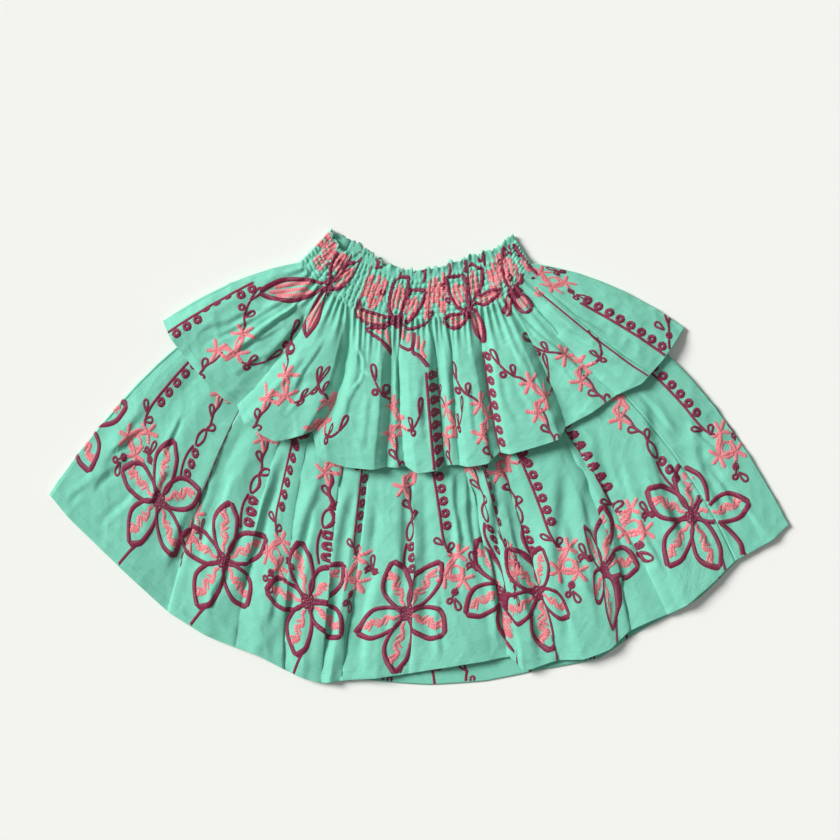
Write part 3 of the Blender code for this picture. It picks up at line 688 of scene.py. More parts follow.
# Where beside a crevice its upper edge leans over it and where it rolls up: the distance,
# the half width and the strength of each.
LEAN_PLACE, LEAN_WIDTH, LEAN_SHARE = 3.6, 3.1, 2.1
ROLL_PLACE, ROLL_WIDTH, ROLL_SHARE = 5.0, 4.0, 1.9


class Cloth:
    """The outer face of one panel as a grid: columns round the tube, rows down it."""

    def __init__(self, name, tube, columns, lines, creases, gathers, tucks):
        self.name = name
        self.tube = tube
        self.lines = lines
        self.u = columns
        length = np.linalg.norm(tube.base(columns, np.ones_like(columns))
                                - tube.base(columns, np.zeros_like(columns)), axis=-1)
        self.t = np.stack([row_t(line, length) for line in lines], 1)
        if tube.top < 0:
            frill = 0.55 * (0.5 + 0.5 * wander(columns * 150, 3.1))
            above = np.clip((FIRST_SHIRRING - self.t) / (1 + FIRST_SHIRRING), 0, 1)
            self.t = self.t + above * (1 + FIRST_SHIRRING) * frill[:, None]
        u = np.broadcast_to(columns[:, None], self.t.shape)
        self.base = tube.base(u, self.t)
        flat_normals = grid_normals(self.base)
        relief = self.relief(u, creases, gathers, flat_normals)
        self.outer = self.base + flat_normals * relief[..., None]
        self.roll_tucks(u, tucks, flat_normals)
        self.draw_in_seams()
        self.normals = grid_normals(self.outer)
        self.lay_out()

    def relief(self, u, creases, gathers, normals):
        """Height over the solid's plain face."""
        facing_up = np.clip(normals[..., 2] * 3, 0, 1)
        facing_down = np.clip(-normals[..., 2] * 3, 0, 1)
        calm = smooth((self.t - 0.02) / 0.1)
        strength = UPPER_STRENGTH if self.tube.top < 0 else LOWER_STRENGTH
        soft = strength * crease_relief(self.base, creases) + rumple_relief(u, self.t)
        relief = (soft + crumple_relief(self.base)) * facing_up * calm
        under = UNDER_STRENGTH * (crease_relief(self.base, UNDER_CREASES) + rumple_relief(u, self.t))
        relief = relief - (np.abs(under) * calm * 0.5 + UNDER_LIFT) * facing_down
        relief = relief + gather_relief(self.tube, u, self.t, gathers)
        relief = relief + hem_relief(u, self.lines) * (1 - facing_down)
        if self.tube.top < 0:
            relief = relief + fine_waist(self.tube, u, self.t)
        return relief

    def roll_tucks(self, u, tucks, normals):
        """Lean one edge of each crevice over the other."""
        across = np.gradient(self.base, axis=0)
        width = np.linalg.norm(across, axis=-1) / np.gradient(self.u)[:, None]
        across = unit(across)
        down = smooth((self.t - 0.02) / 0.3) * ((u > 0) & (u < 1))
        for tuck in tucks:
            away = (self.tube.front.knots[tuck.fold] - u) * width * tuck.over
            edge = hump(away, LEAN_PLACE, LEAN_WIDTH) * down * LEAN_SHARE * tuck.lean * tuck.over
            roll = hump(away, ROLL_PLACE, ROLL_WIDTH) * down * ROLL_SHARE * tuck.roll
            self.outer = self.outer + across * edge[..., None] + normals * roll[..., None]

    def draw_in_seams(self):
        """Both ends drawn down a little, where the panels are sewn together."""
        facing = grid_normals(self.outer)
        for k, rise in enumerate(SEAM_PROFILE):
            self.outer[k] = self.outer[k] + facing[k] * rise
            self.outer[-1 - k] = self.outer[-1 - k] + facing[-1 - k] * rise

    def lay_out(self):
        """Heights above the hem along the columns, and lengths along the rows."""
        steps = np.linalg.norm(np.diff(self.base, axis=1), axis=-1)
        self.height = np.zeros(self.t.shape)
        self.height[:, :-1] = np.cumsum(steps[:, ::-1], axis=1)[:, ::-1]
        count = int(self.height.max() / LEVEL) + 2
        levels = np.arange(count) * LEVEL
        rows = np.arange(self.t.shape[1], dtype=float)
        self.row_at = np.stack([np.interp(levels, h[::-1], rows[::-1]) for h in self.height])
        columns = np.arange(len(self.u), dtype=float)[:, None] + np.zeros(count)
        places = sample(self.base, columns, self.row_at)
        steps = np.linalg.norm(np.diff(places, axis=0), axis=-1)
        self.along = np.concatenate([np.zeros((1, count)), np.cumsum(steps, axis=0)])

    def find(self, x, y, under=False):
        """Column and height above the hem of the place at x, y as seen from above."""
        away = np.hypot(self.outer[..., 0] - x, self.outer[..., 1] - y)
        facing = self.normals[..., 2] * (-1.0 if under else 1.0)
        away = np.where(facing > 0.05, away, FAR)
        i, j = np.unravel_index(np.argmin(away), away.shape)
        return float(i), float(self.height[i, j])

    def place(self, anchor, x, h):
        """Column and row of points x across from the anchor column and h above the hem,
        and whether they are on the cloth."""
        last = self.along.shape[1] - 2
        level = np.clip(h / LEVEL, 0, last + 0.999)
        low = level.astype(int)
        share = level - low
        numbers = np.arange(len(self.u), dtype=float)
        column = np.zeros_like(x)
        on_cloth = h >= 0
        for k in np.unique(low):
            pick = np.nonzero(low == k)[0]
            for number, weight in ((k, 1 - share[pick]), (k + 1, share[pick])):
                line = self.along[:, number]
                target = np.interp(anchor[pick], numbers, line) + x[pick]
                column[pick] += weight * np.interp(target, line, numbers)
                on_cloth[pick] &= (target > line[0]) & (target < line[-1])
        row = sample(self.row_at, column, level)
        top = np.interp(column, numbers, self.height[:, 0])
        return column, row, on_cloth & (h <= top)


def new_object(name, points, faces, material):
    """A smooth mesh object from points in millimetres and a table of faces."""
    faces = np.asarray(faces, np.int32)
    corners = faces.shape[1]
    mesh = bpy.data.meshes.new(name)
    mesh.vertices.add(len(points))
    mesh.vertices.foreach_set("co", (np.asarray(points, float) * MM).astype(np.float32).ravel())
    mesh.loops.add(faces.size)
    mesh.loops.foreach_set("vertex_index", faces.ravel())
    mesh.polygons.add(len(faces))
    mesh.polygons.foreach_set("loop_start", np.arange(0, faces.size, corners, dtype=np.int32))
    mesh.polygons.foreach_set("use_smooth", np.ones(len(faces), bool))
    mesh.update(calc_edges=True)
    mesh.materials.append(material)
    made = bpy.data.objects.new(name, mesh)
    bpy.context.scene.collection.objects.link(made)
    return made


def add_grain(made, values):
    """A point attribute with lengths in millimetres that the materials read."""
    grain = made.data.attributes.new("grain", "FLOAT_VECTOR", "POINT")
    grain.data.foreach_set("vector", np.asarray(values, np.float32).ravel())


def quads(numbers):
    """Two triangles for each cell of a grid of vertex numbers."""
    a, b = numbers[:-1, :-1].ravel(), numbers[1:, :-1].ravel()
    c, d = numbers[1:, 1:].ravel(), numbers[:-1, 1:].ravel()
    return np.concatenate([np.stack([a, d, c], 1), np.stack([a, c, b], 1)])


def edge_strip(fine, coarse, flip):
    """Triangles between an edge of the outer face and every second point of the inner."""
    p, q, r = fine[:-2:2], fine[1:-1:2], fine[2::2]
    a, b = coarse[:-1], coarse[1:]
    faces = np.concatenate([np.stack([p, q, a], 1), np.stack([q, b, a], 1), np.stack([q, r, b], 1)])
    return faces[:, ::-1] if flip else faces


def cloth_shell(cloth, material):
    """The closed thin shell under a panel's outer face."""
    outer = cloth.outer
    inner = (outer - cloth.normals * SHELL)[::2, ::2]
    count = outer.shape[0] * outer.shape[1]
    front = np.arange(count).reshape(outer.shape[:2])
    back = count + np.arange(inner.shape[0] * inner.shape[1]).reshape(inner.shape[:2])
    faces = [quads(front), quads(back)[:, ::-1],
             edge_strip(front[:, 0], back[:, 0], False), edge_strip(front[:, -1], back[:, -1], True),
             edge_strip(front[0], back[0], True), edge_strip(front[-1], back[-1], False)]
    points = np.concatenate([outer.reshape(-1, 3), inner.reshape(-1, 3)])
    made = new_object(cloth.name, points, np.concatenate(faces), material)
    columns = np.arange(outer.shape[0], dtype=float)[:, None] + np.zeros(outer.shape[1])
    across = sample(cloth.along, columns, cloth.height / LEVEL)
    grain = np.stack([across, cloth.height, np.zeros_like(across)], -1)
    inner_grain = grain[::2, ::2] + (0, 0, 1.0)
    add_grain(made, np.concatenate([grain.reshape(-1, 3), inner_grain.reshape(-1, 3)]))
    return made


def panel_columns(tube, side, top_count, turn_count, under_count):
    """Columns round a panel, from its one side seam to the other."""
    seam = tube.front.knots[tube.seam_fold]
    hidden = 1 - seam
    turn = np.linspace(0, 1, turn_count + 1)[1:-1]
    if side == "front":
        under = np.linspace(-1 - hidden, -1, under_count)
        columns = [under, turn - 1, np.linspace(0, seam, top_count)]
    else:
        columns = [np.linspace(seam, 1, top_count), 1 + turn, np.linspace(2, 3 - hidden, under_count)]
    return np.concatenate(columns)


# The embroidery is charted in steps of 1.1 mm, x to the right along the hem and y up to
# the waist. A flower's centre is 74 steps above the hem of the whole cloth.
STEP = 1.1
FLOWER_HEIGHT = 74.0
UPPER_HEM_HEIGHT = 169.0
WAIST_FLOWER_HEIGHT = 335.0

# A stroke of thread: colour, places in steps, half width in millimetres at each place,
# and rise over the cloth in millimetres.
Stroke = namedtuple("Stroke", "colour points half rise")

MAGENTA, CORAL = "magenta", "coral"
CORD_RISE, EDGE_RISE = 0.85, 1.1
SPACING, SATIN_SPACING = 1.7, 1.2


def resampled(points, spacing):
    """A smooth line through points, with even steps of about spacing."""
    points = np.asarray(points, float)
    knots = reach_along(points)
    fine = np.linspace(0, knots[-1], max(8 * len(points), 24))
    if len(points) > 2:
        line = spline(knots, lambda j: points[j], fine)
    else:
        line = points[0] + (points[1] - points[0]) * (fine / knots[-1])[:, None]
    reach = reach_along(line)
    count = max(3, int(math.ceil(reach[-1] / spacing)) + 1)
    even = np.linspace(0, reach[-1], count)
    return np.stack([np.interp(even, reach, line[:, k]) for k in (0, 1)], -1)


def turn_points(points, degrees):
    """Places turned round the origin."""
    c, s = math.cos(math.radians(degrees)), math.sin(math.radians(degrees))
    x, y = np.asarray(points, float).T
    return np.stack([x * c - y * s, x * s + y * c], -1)


def ring_points(x, y, radius, count):
    """Places round a closed circle."""
    turn = np.linspace(0, 2 * math.pi, count)
    return np.stack([x + radius * np.cos(turn), y + radius * np.sin(turn)], -1)


def line_stroke(colour, points, half, end_half=None, rise=CORD_RISE, spacing=SPACING):
    """A stroke along a smooth line, of even width or growing to end_half, with round ends."""
    line = resampled(points, spacing)
    place = reach_along(line) * STEP
    share = place / place[-1]
    widths = half + ((end_half or half) - half) * share
    end = np.minimum(place, place[-1] - place)
    cap = np.sqrt(np.clip(1 - (1 - np.clip(end / widths, 0, 1)) ** 2, 0.04, 1))
    return Stroke(colour, line, widths * cap, rise)


def cord(points, half):
    """An even stroke of magenta."""
    return line_stroke(MAGENTA, points, half)


def bead(x, y, radius=3.3, half=2.5):
    """A nearly filled ring, with its radius in millimetres."""
    line = ring_points(x, y, radius / STEP, 13)
    return Stroke(MAGENTA, line, np.full(len(line), half), CORD_RISE)


def drop(x, y, angle, length, width, half=1.6):
    """An open teardrop loop from its point at x, y outwards at an angle."""
    turn = np.linspace(0, 2 * math.pi, 17)
    out = length * (0.5 - 0.5 * np.cos(turn))
    side = 0.5 * width * np.sin(turn) * (0.55 - 0.45 * np.cos(turn)) * 1.15
    line = turn_points(np.stack([out, side], -1), angle) + (x, y)
    return Stroke(MAGENTA, line, np.full(len(line), half), CORD_RISE)


def diamond(x, y, angle, length, width):
    """Two cords that part and meet again."""
    strokes = []
    share = np.linspace(-0.5, 0.5, 7)
    for side in (-1, 1):
        across = side * 0.5 * width * np.cos(share * math.pi) ** 0.8
        line = turn_points(np.stack([share * length, across], -1), angle) + (x, y)
        strokes.append(cord(line, 1.6))
    return strokes


# Petals of a flower: direction in degrees, length and width in steps.
PETALS = [(118, 57, 27), (60, 55, 27), (-26, 49, 28), (-99, 60, 27), (196, 53, 28)]

# Satin line inside a petal: share of the length and sideways place in steps.
ZIGZAG = [(0.15, 0.0), (0.26, 1.6), (0.34, -1.8), (0.44, -2.8), (0.49, 1.4), (0.55, 3.8),
          (0.62, 0.4), (0.67, -3.2), (0.75, -1.6), (0.8, 2.0), (0.86, 0.4)]

# Short satin branches beside that line: share of the length, sideways place and reach.
BRANCHES = [(0.36, -1.0, 6.5), (0.5, 2.0, -7.0), (0.68, -1.0, 7.5)]

# A petal's edge: share of the length, half width as a share of the width, and how many
# times the tip's skew applies there.
PETAL_EDGE = [(0.2, 0.29, 0), (0.38, 0.44, 0), (0.6, 0.5, 0), (0.76, 0.42, 1), (0.9, 0.2, 2), (1.0, 0.0, 3)]
SKEW = 0.07


def petal(direction, length, width, mirrored):
    """A pointed petal of two growing cords, with a zigzag of satin inside."""
    strokes = []
    skew = SKEW * width * math.sin(direction)
    for side in (-1, 1):
        edge = [(6, side * 2.0)]
        edge += [(v * length, side * half * width + skews * skew) for v, half, skews in PETAL_EDGE]
        strokes.append(line_stroke(MAGENTA, turn_points(edge, direction), 2.1, 3.6, rise=EDGE_RISE))
    sign = -1 if mirrored else 1
    zigzag = [(v * length, sign * offset * width / 32) for v, offset in ZIGZAG]
    satin = line_stroke(CORAL, turn_points(zigzag, direction), 2.3, 3.2, rise=0.75, spacing=SATIN_SPACING)
    strokes.append(ragged(satin, direction))
    for v, offset, reach in BRANCHES:
        branch = [(v * length, sign * offset), ((v + 0.09) * length, sign * (offset + reach))]
        strokes.append(ragged(line_stroke(CORAL, turn_points(branch, direction), 2.2, 1.5, rise=0.65), v))
    return strokes


def ragged(stroke, seed):
    """The stroke with long and short stitches at its edges."""
    place = np.arange(len(stroke.half)) * 1.9 + seed
    return stroke._replace(half=stroke.half * (1.0 + 0.28 * wander(place, 1.7)))


def flower():
    """Five petals, a ringed centre and a short stem down to the hem."""
    strokes = []
    for number, (direction, length, width) in enumerate(PETALS):
        strokes += petal(direction, length, width, number % 2 == 1)
    for x, y in turn_points(ring_points(0, 0, 5.6, 7)[:-1], 15):
        strokes.append(bead(x, y, 2.1, 1.65))
    strokes.append(bead(0, 0, 1.9, 1.7))
    strokes.append(cord([(3, -54), (0, -64), (-5, -90)], 1.8))
    return strokes


def star(x, y, turn, length=12.0):
    """Five plump satin arms."""
    strokes = []
    for arm in range(5):
        angle = math.radians(72 * arm + turn + 9 * math.sin(3.1 * arm + turn))
        reach = length * (1 + 0.12 * math.sin(2.3 * arm + turn))
        c, s = math.cos(angle), math.sin(angle)
        strokes.append(line_stroke(CORAL, [(x + 0.4 * c, y + 0.4 * s), (x + reach * c, y + reach * s)],
                                   2.2, 2.8, rise=0.9))
    return strokes


def coral_ring(x, y, radius):
    """An open ring of coral satin."""
    line = ring_points(x, y, radius, 15)
    return Stroke(CORAL, line, np.full(len(line), 1.8), 0.65)


def cluster(x, y, stars, ring):
    """Stars linked by a ring and short satin lines."""
    strokes = []
    for number, (sx, sy) in enumerate(stars):
        strokes += star(x + sx, y + sy, 20 + 31 * number)
    strokes.append(coral_ring(x + ring[0], y + ring[1], 5.6))
    for (ax, ay), (bx, by) in zip(stars, stars[1:]):
        bend = (x + (ax + bx) / 2 + 0.15 * (by - ay), y + (ay + by) / 2 - 0.15 * (bx - ax))
        strokes.append(line_stroke(CORAL, [(x + ax, y + ay), bend, (x + bx, y + by)], 2.0, rise=0.7))
    return strokes


CLUSTER_B = [(-3.0, 16.6), (9.0, -2.0), (-6.0, -15.0)]
CLUSTER_A = [(4.6, 14.3), (-11.0, -4.0), (6.7, -11.0)]

# Heights over a flower's centre of the first bead of its chain, of the cluster on top
# and of the cluster between two flowers.
FIRST_BEAD = 43.0
CLUSTER_HEIGHT = 141.0
BETWEEN_HEIGHT = 42.0

# The straight stem over that cluster: its lowest bead, its top and the beads' spacing.
STEM_BEADS, STEM_TOP, BEAD_STEP = 45, 150, 12.5


def beads_above_flower():
    """The chain above a flower, y from the flower's centre."""
    strokes = [bead(3.5, 43), bead(3.2, 54), bead(2.2, 65)]
    strokes.append(cord([(-2, 34), (-5, 46), (-5.5, 58), (-3, 70)], 1.7))
    strokes += diamond(0.5, 81, 84, 21, 7.5)
    strokes.append(cord([(1.5, 90), (3, 97), (0, 108), (1, 119), (-1, 130)], 1.7))
    strokes += [drop(1.5, 91, 52, 11, 7), drop(0.5, 104, 128, 11, 7)]
    return strokes


def cluster_above_flower():
    """The star cluster at the top of the chain above a flower, with a sprig on each side."""
    strokes = cluster(0, 0, CLUSTER_B, (0, -9.0))
    strokes.append(cord([(12, -3), (18, -5), (25, -1), (30, 4), (34, 12)], 1.6))
    strokes += [bead(26, -5, 2.8, 1.9), drop(24, -1, 95, 11, 5.5), drop(34, 12, 84, 17, 6)]
    strokes.append(cord([(-5, 17), (-9, 23), (-16, 28), (-21, 35), (-25, 43)], 1.6))
    strokes += [bead(-25, 32, 2.8, 2.0), drop(-15, 28, 80, 11, 6), drop(-25, 43, 97, 17, 6.5)]
    return shifted(strokes, CLUSTER_HEIGHT)


def cluster_between():
    """The star cluster between two flowers, y from the cluster's middle."""
    strokes = cluster(0, 0, CLUSTER_A, (0, -1.5))
    strokes += [bead(-3, -22, 2.8, 1.9), bead(-9, -30, 2.6, 1.8), drop(-4, -28, -72, 13, 7)]
    strokes.append(cord([(0, -17), (-3, -22), (-7, -28)], 1.5))
    strokes.append(cord([(11, -3), (15, 1), (20, -2), (27, -4)], 1.5))
    strokes += [bead(14, 2, 2.5, 1.8), bead(22, -2, 2.7, 1.9), drop(19, 1, 98, 14, 6)]
    return strokes


def beads_between(folded=()):
    """The straight stem with its loops and beads, y from the cluster's middle.
    Beads whose numbers are in folded are seen from their edge."""
    strokes = [drop(-6, 19, 48, 10, 7), drop(-9, 27, 138, 11, 6.5)]
    stem = [(-1, 15), (-6, 22), (-8.5, 34), (-8.5, 60), (-8.5, STEM_TOP)]
    strokes.append(cord(stem, 1.7))
    for number, y in enumerate(np.arange(STEM_BEADS, STEM_TOP - 4, BEAD_STEP)):
        if number in folded:
            strokes.append(cord([(-7.6, y - 4), (-6.2, y), (-7.6, y + 4)], 1.9))
        else:
            strokes.append(bead(-2.8, y, 3.2, 2.5))
    return strokes


def chain_above_flower():
    """All that rises above a flower, y from the flower's centre."""
    return beads_above_flower() + cluster_above_flower()


def between_flowers():
    """All that stands between two flowers, y from its cluster's middle."""
    return cluster_between() + beads_between()


def smocked_mass(width, height, lines, seed):
    """Satin broken into upright streaks by the shirring."""
    strokes = []
    for k in range(lines):
        x = width * ((k + 0.5) / lines - 0.5)
        low = -0.5 * height * (0.72 + 0.28 * math.sin(5.3 * k + seed))
        high = 0.5 * height * (0.72 + 0.28 * math.sin(3.7 * k + 2.0 * seed))
        count = 1 + int(1.6 + math.sin(2.9 * k + seed))
        for part in range(count):
            start = low + (high - low) * part / count
            end = low + (high - low) * (part + 0.9) / count
            bend = 0.7 * math.sin(4.1 * part + 1.9 * k + seed)
            strokes.append(line_stroke(CORAL, [(x, start), (x + bend, (start + end) / 2), (x, end)],
                                       2.0, 2.4, rise=0.8))
    return strokes


# Cross section of a ribbon of thread: places across it and their shares of its rise.
ACROSS = np.array([-1.0, -0.6, 0.0, 0.6, 1.0])
ROUNDED = np.array([0.0, 0.76, 1.0, 0.76, 0.0])

# Rise of the threads inside the cloth and how much those under it are flattened, as
# shares, and how far the thread's pattern shifts from one stroke to the next.
REVERSE_SHARE, FLATTENED = 0.6, 0.62
GRAIN_SHIFT = 7.3

# A stroke laid on a panel: its anchor's column, and its places across and above the hem.
Laid = namedtuple("Laid", "column x h stroke")


def ribbon_faces(counts, good):
    """Triangles between the cross rows of each ribbon, where both rows are on the cloth."""
    wide = len(ACROSS)
    faces, first = [], 0
    for count in counts:
        numbers = np.arange(first * wide, (first + count) * wide).reshape(count, wide)
        whole = good[first:first + count - 1] & good[first + 1:first + count]
        faces += [quads(numbers[k:k + 2]) for k in np.nonzero(whole)[0]]
        first += count
    return np.concatenate(faces)


def ribbon_grain(stroke, number):
    """Lengths along and across a ribbon, for its material."""
    reach = reach_along(stroke.points) * STEP + GRAIN_SHIFT * number
    across = stroke.half[:, None] * ACROSS
    along = np.broadcast_to(reach[:, None], across.shape)
    return np.stack([along, across, np.zeros_like(across)], -1).reshape(-1, 3)


class Needlework:
    """Strokes laid on one panel, by colour."""

    def __init__(self, cloth, inside=False):
        self.cloth = cloth
        self.inside = inside
        self.strokes = {MAGENTA: [], CORAL: []}

    def put(self, spot, strokes, squeeze=(1.0, 1.0)):
        """Lay strokes with their origin at spot, a column and a height above the hem.
        squeeze scales x to the left and to the right."""
        column, height = spot
        for stroke in strokes:
            line = stroke.points
            ahead = np.gradient(line, axis=0)
            normal = unit(np.stack([-ahead[:, 1], ahead[:, 0]], -1))
            wide = (stroke.half / STEP)[:, None, None] * ACROSS[None, :, None]
            places = line[:, None, :] + normal[:, None, :] * wide
            x = places[..., 0] * np.where(places[..., 0] < 0, squeeze[0], squeeze[1]) * STEP
            h = height + places[..., 1] * STEP
            if h.max() > 0:
                self.strokes[stroke.colour].append(Laid(column, x, h, stroke))

    def raised(self, laid):
        """Points of the ribbons over the cloth, and whether each is on it."""
        x = np.concatenate([entry.x for entry in laid]).ravel()
        h = np.concatenate([entry.h for entry in laid]).ravel()
        anchor = np.concatenate([np.full(entry.x.size, entry.column) for entry in laid])
        column, row, on_cloth = self.cloth.place(anchor, x, h)
        surface = sample(self.cloth.outer, column, row)
        normals = unit(sample(self.cloth.normals, column, row))
        rises = [np.full(entry.x.shape, entry.stroke.rise) * ROUNDED for entry in laid]
        rises = np.concatenate(rises).ravel()
        if self.inside:
            surface, normals, rises = surface - normals * SHELL, -normals, REVERSE_SHARE * rises
        else:
            rises = rises * (1 - FLATTENED * np.clip(-2 * normals[:, 2], 0, 1))
        return surface + normals * (rises - SUNK)[:, None], on_cloth

    def sew(self, name, colour, material):
        """All strokes of one colour as one mesh of raised ribbons."""
        laid = self.strokes[colour]
        if not laid:
            return None
        points, on_cloth = self.raised(laid)
        good = on_cloth.reshape(-1, len(ACROSS)).all(axis=1)
        faces = ribbon_faces([len(entry.x) for entry in laid], good)
        used, faces = np.unique(faces, return_inverse=True)
        faces = faces.reshape(-1, 3)
        made = new_object(name, points[used], faces[:, ::-1] if self.inside else faces, material)
        grain = [ribbon_grain(entry.stroke, number) for number, entry in enumerate(laid)]
        add_grain(made, np.concatenate(grain)[used])
        return made


# A line of machine stitches: its number in the grid, whether it runs down, its first and
# last place along, and half the thread's width.
Seam = namedtuple("Seam", "number down first last half")

STITCH, STITCH_GAP, STITCH_RISE = 2.1, 1.0, 0.32

# A stitch's places along and across it, its rise across it, and how far each place along
# it is sunk, as shares.
STITCH_ALONG, STITCH_SUNK = np.array([0.0, 0.25, 0.75, 1.0]), np.array([1.3, 0.0, 0.0, 1.3])
STITCH_ACROSS, STITCH_LIFT = np.array([-1.0, 0.0, 1.0]), np.array([-0.4, 1.0, -0.4])

# Steps along the cloth's grid at which a seam is measured.
SEAM_STEP = 0.25


def stitch_points(cloth, seam):
    """Places, normals and side steps of the middle line of each stitch of a seam."""
    grid, facing = cloth.outer, cloth.normals
    if seam.down:
        grid, facing = grid.swapaxes(0, 1), facing.swapaxes(0, 1)
    places = np.arange(seam.first, seam.last, SEAM_STEP)
    line = sample(grid, places, np.full_like(places, seam.number))
    reach = reach_along(line)
    starts = np.arange(0.0, reach[-1] - STITCH, STITCH + STITCH_GAP)
    along = starts[:, None] + STITCH_ALONG * STITCH
    at = np.interp(along, reach, places)
    rows = np.full_like(at, seam.number)
    middle = sample(grid, at, rows)
    normals = unit(sample(facing, at, rows))
    side = unit(np.cross(np.gradient(middle, axis=1), normals))
    return middle, normals, side


def stitch_grain(shape, half):
    """Lengths along and across the stitches of a seam, for their material."""
    along = np.arange(shape[0] * shape[1]).reshape(shape[0], shape[1], 1) * 0.8
    along, wide = np.broadcast_arrays(along, STITCH_ACROSS * half)
    return np.stack([along, wide, np.zeros(along.shape)], -1).reshape(-1, 3)


def sew_seams(cloth, seams, name, material):
    """All machine stitches of a panel as one mesh."""
    points, faces, grain = [], [], []
    height = STITCH_RISE * (STITCH_LIFT[:, None] - STITCH_SUNK[:, None, None])
    first = 0
    for seam in seams:
        middle, normals, side = stitch_points(cloth, seam)
        laid = (middle[:, :, None] + side[:, :, None] * STITCH_ACROSS[:, None] * seam.half
                + normals[:, :, None] * height)
        points.append(laid.reshape(-1, 3))
        numbers = first + np.arange(laid[..., 0].size).reshape(laid.shape[:3])
        faces += [quads(stitch) for stitch in numbers]
        grain.append(stitch_grain(laid.shape, seam.half))
        first += numbers.size
    made = new_object(name, np.concatenate(points), np.concatenate(faces), material)
    add_grain(made, np.concatenate(grain))
    return made


def panel_seams(cloth):
    """The hem's stitches, the shirring rows and the stitches beside the side seams."""
    lines = cloth.lines
    last = len(cloth.u) - PAST_LAST
    bottom = float(len(lines) - 1)
    seams = [Seam(lines.index(Line(1.0, STITCH_LINE)), False, 0.0, last, 0.3)]
    top = [number for number, line in enumerate(lines) if line.t >= 0.02][0]
    seams += [Seam(place, True, top, bottom, 0.25) for place in (3.0, last - 3.0)]
    if cloth.tube.top < 0:
        for row in range(SHIRRING_ROWS):
            t = FIRST_SHIRRING * (1 - row / (SHIRRING_ROWS - 1))
            number = int(np.argmin([abs(line.t - t) for line in lines]))
            seams.append(Seam(number, False, 0.0, last, 0.35))
    return seams


# Steps from the corner of the photograph's frame to the skirt's middle.
MIDDLE_X, MIDDLE_Y = 419.0, 456.0


def plan_spot(cloth, photo_x, photo_y):
    """The place on a panel under a place of the photograph, given in steps from its corner."""
    return cloth.find((photo_x - MIDDLE_X) * STEP, (MIDDLE_Y - photo_y) * STEP)


# Where motifs lie, in steps across and down the photograph's frame. left and right are
# how far cloth hidden in folds narrows each half, 0 where that half is hidden.
Spot = namedtuple("Spot", "x y left right", defaults=(1, 1))

# A flower is also turned, in degrees.
Bloom = namedtuple("Bloom", "x y left right turn")

LOWER_FLOWERS = [
    Bloom(158, 501, 1.0, 1.0, -12), Bloom(224, 561, 1.0, 0.92, -15), Bloom(309, 601, 0.95, 0.95, -8),
    Bloom(408, 612, 1.0, 1.0, -5), Bloom(506, 598, 1.0, 0.0, 0), Bloom(541, 591, 0.85, 0.6, 0),
    Bloom(604, 572, 0.3, 0.95, 5), Bloom(694, 515, 1.0, 1.0, 4),
]
LOWER_CHAINS = [
    Spot(184, 473), Spot(244, 522), Spot(321, 557), Spot(410, 568), Spot(494, 548, 0.6, 0.6),
    Spot(530, 550), Spot(673, 480),
]
LOWER_BETWEEN = [
    Spot(136, 440), Spot(191, 528, 0.35, 0.4), Spot(275, 553, 0.85, 0.9), Spot(355, 574, 0.8, 0.9),
    Spot(455, 570), Spot(511, 566, 0.35, 0.35), Spot(569, 563), Spot(633, 526),
]
UPPER_CHAINS = [
    Spot(232, 347), Spot(279.5, 390), Spot(329, 418), Spot(396, 423, 1, 0.9), Spot(448, 423, 0.5, 0.5),
    Spot(484, 417, 1, 0.3), Spot(538, 396.5, 1, 0.8), Spot(577, 366),
]
UPPER_BETWEEN = [Spot(174, 339), Spot(441, 465), Spot(505, 447)]

# How much longer the ribbed cloth is than its reach across the waist.
WAIST_STRETCH = 1.15

# Petals of the flowers in the shirring: foot and tip in steps from the flower's centre,
# width, and how blunt the tip is.
Petal = namedtuple("Petal", "x0 y0 x1 y1 width blunt")

WAIST_FLOWERS = [
    (Spot(329, 286), [Petal(-2, 3, -4, 46, 18, 0.9), Petal(2, 3, 16, 42, 18, 0.5),
                            Petal(-3, -2, -54, -56, 18, 0.1), Petal(0, -4, 5, -52, 14, 0.1)]),
    (Spot(398, 321), [Petal(-3, 2, -5, 46, 18, 0.9), Petal(5, 2, 16, 38, 18, 0.9),
                            Petal(-5, 3, -48, 9, 12, 0.1)]),
    (Spot(470, 311), [Petal(-3, 2, -12, 38, 20, 0.9), Petal(3, 2, 12, 38, 20, 0.9),
                            Petal(-3, -1, -23, -11, 13, 0.8), Petal(4, -3, 13, -41, 12, 0.1),
                            Petal(5, 1, 34, 9, 11, 0.2)]),
    (Spot(515, 292), [Petal(0, 3, 12, 44, 22, 0.9), Petal(-3, 0, -22, -7, 10, 0.3),
                            Petal(0, -2, -1, -23, 13, 0.7)]),
]

# Cords and satin of the lower petals of the second flower, taken up by the gathers.
GATHERED_SPOT = Spot(398, 321)
GATHERED_CORDS = [
    [(-34, -5), (-27, -10), (-19, -15), (-14, -22), (-9, -34)],
    [(-32, -4), (-18, -3), (-6, -2)],
    [(2, -4), (3, -13), (4, -20), (11, -22), (19, -20), (20, -4)],
    [(20, -5), (20, -24), (28, -30), (38, -42)],
    [(8, -1), (22, 0), (38, 4)],
]
GATHERED_SATIN = [
    [(-24, -5), (-17, -9)], [(-13, -5), (-12, -14), (-9, -24)], [(8, -4), (9, -15)],
    [(15, -4), (14, -15)], [(25, -8), (24, -22)], [(31, -14), (29, -24), (34, -33)],
]

# Satin masses in the shirring, with their size.
Mass = namedtuple("Mass", "x y width height")
WAIST_MASSES = [
    Mass(330, 246, 24, 30), Mass(371, 290, 27, 40), Mass(435, 293, 24, 46),
    Mass(499, 274, 28, 42), Mass(320, 262, 13, 16), Mass(552, 279, 16, 16),
]
STREAK_WIDTH = 2.9

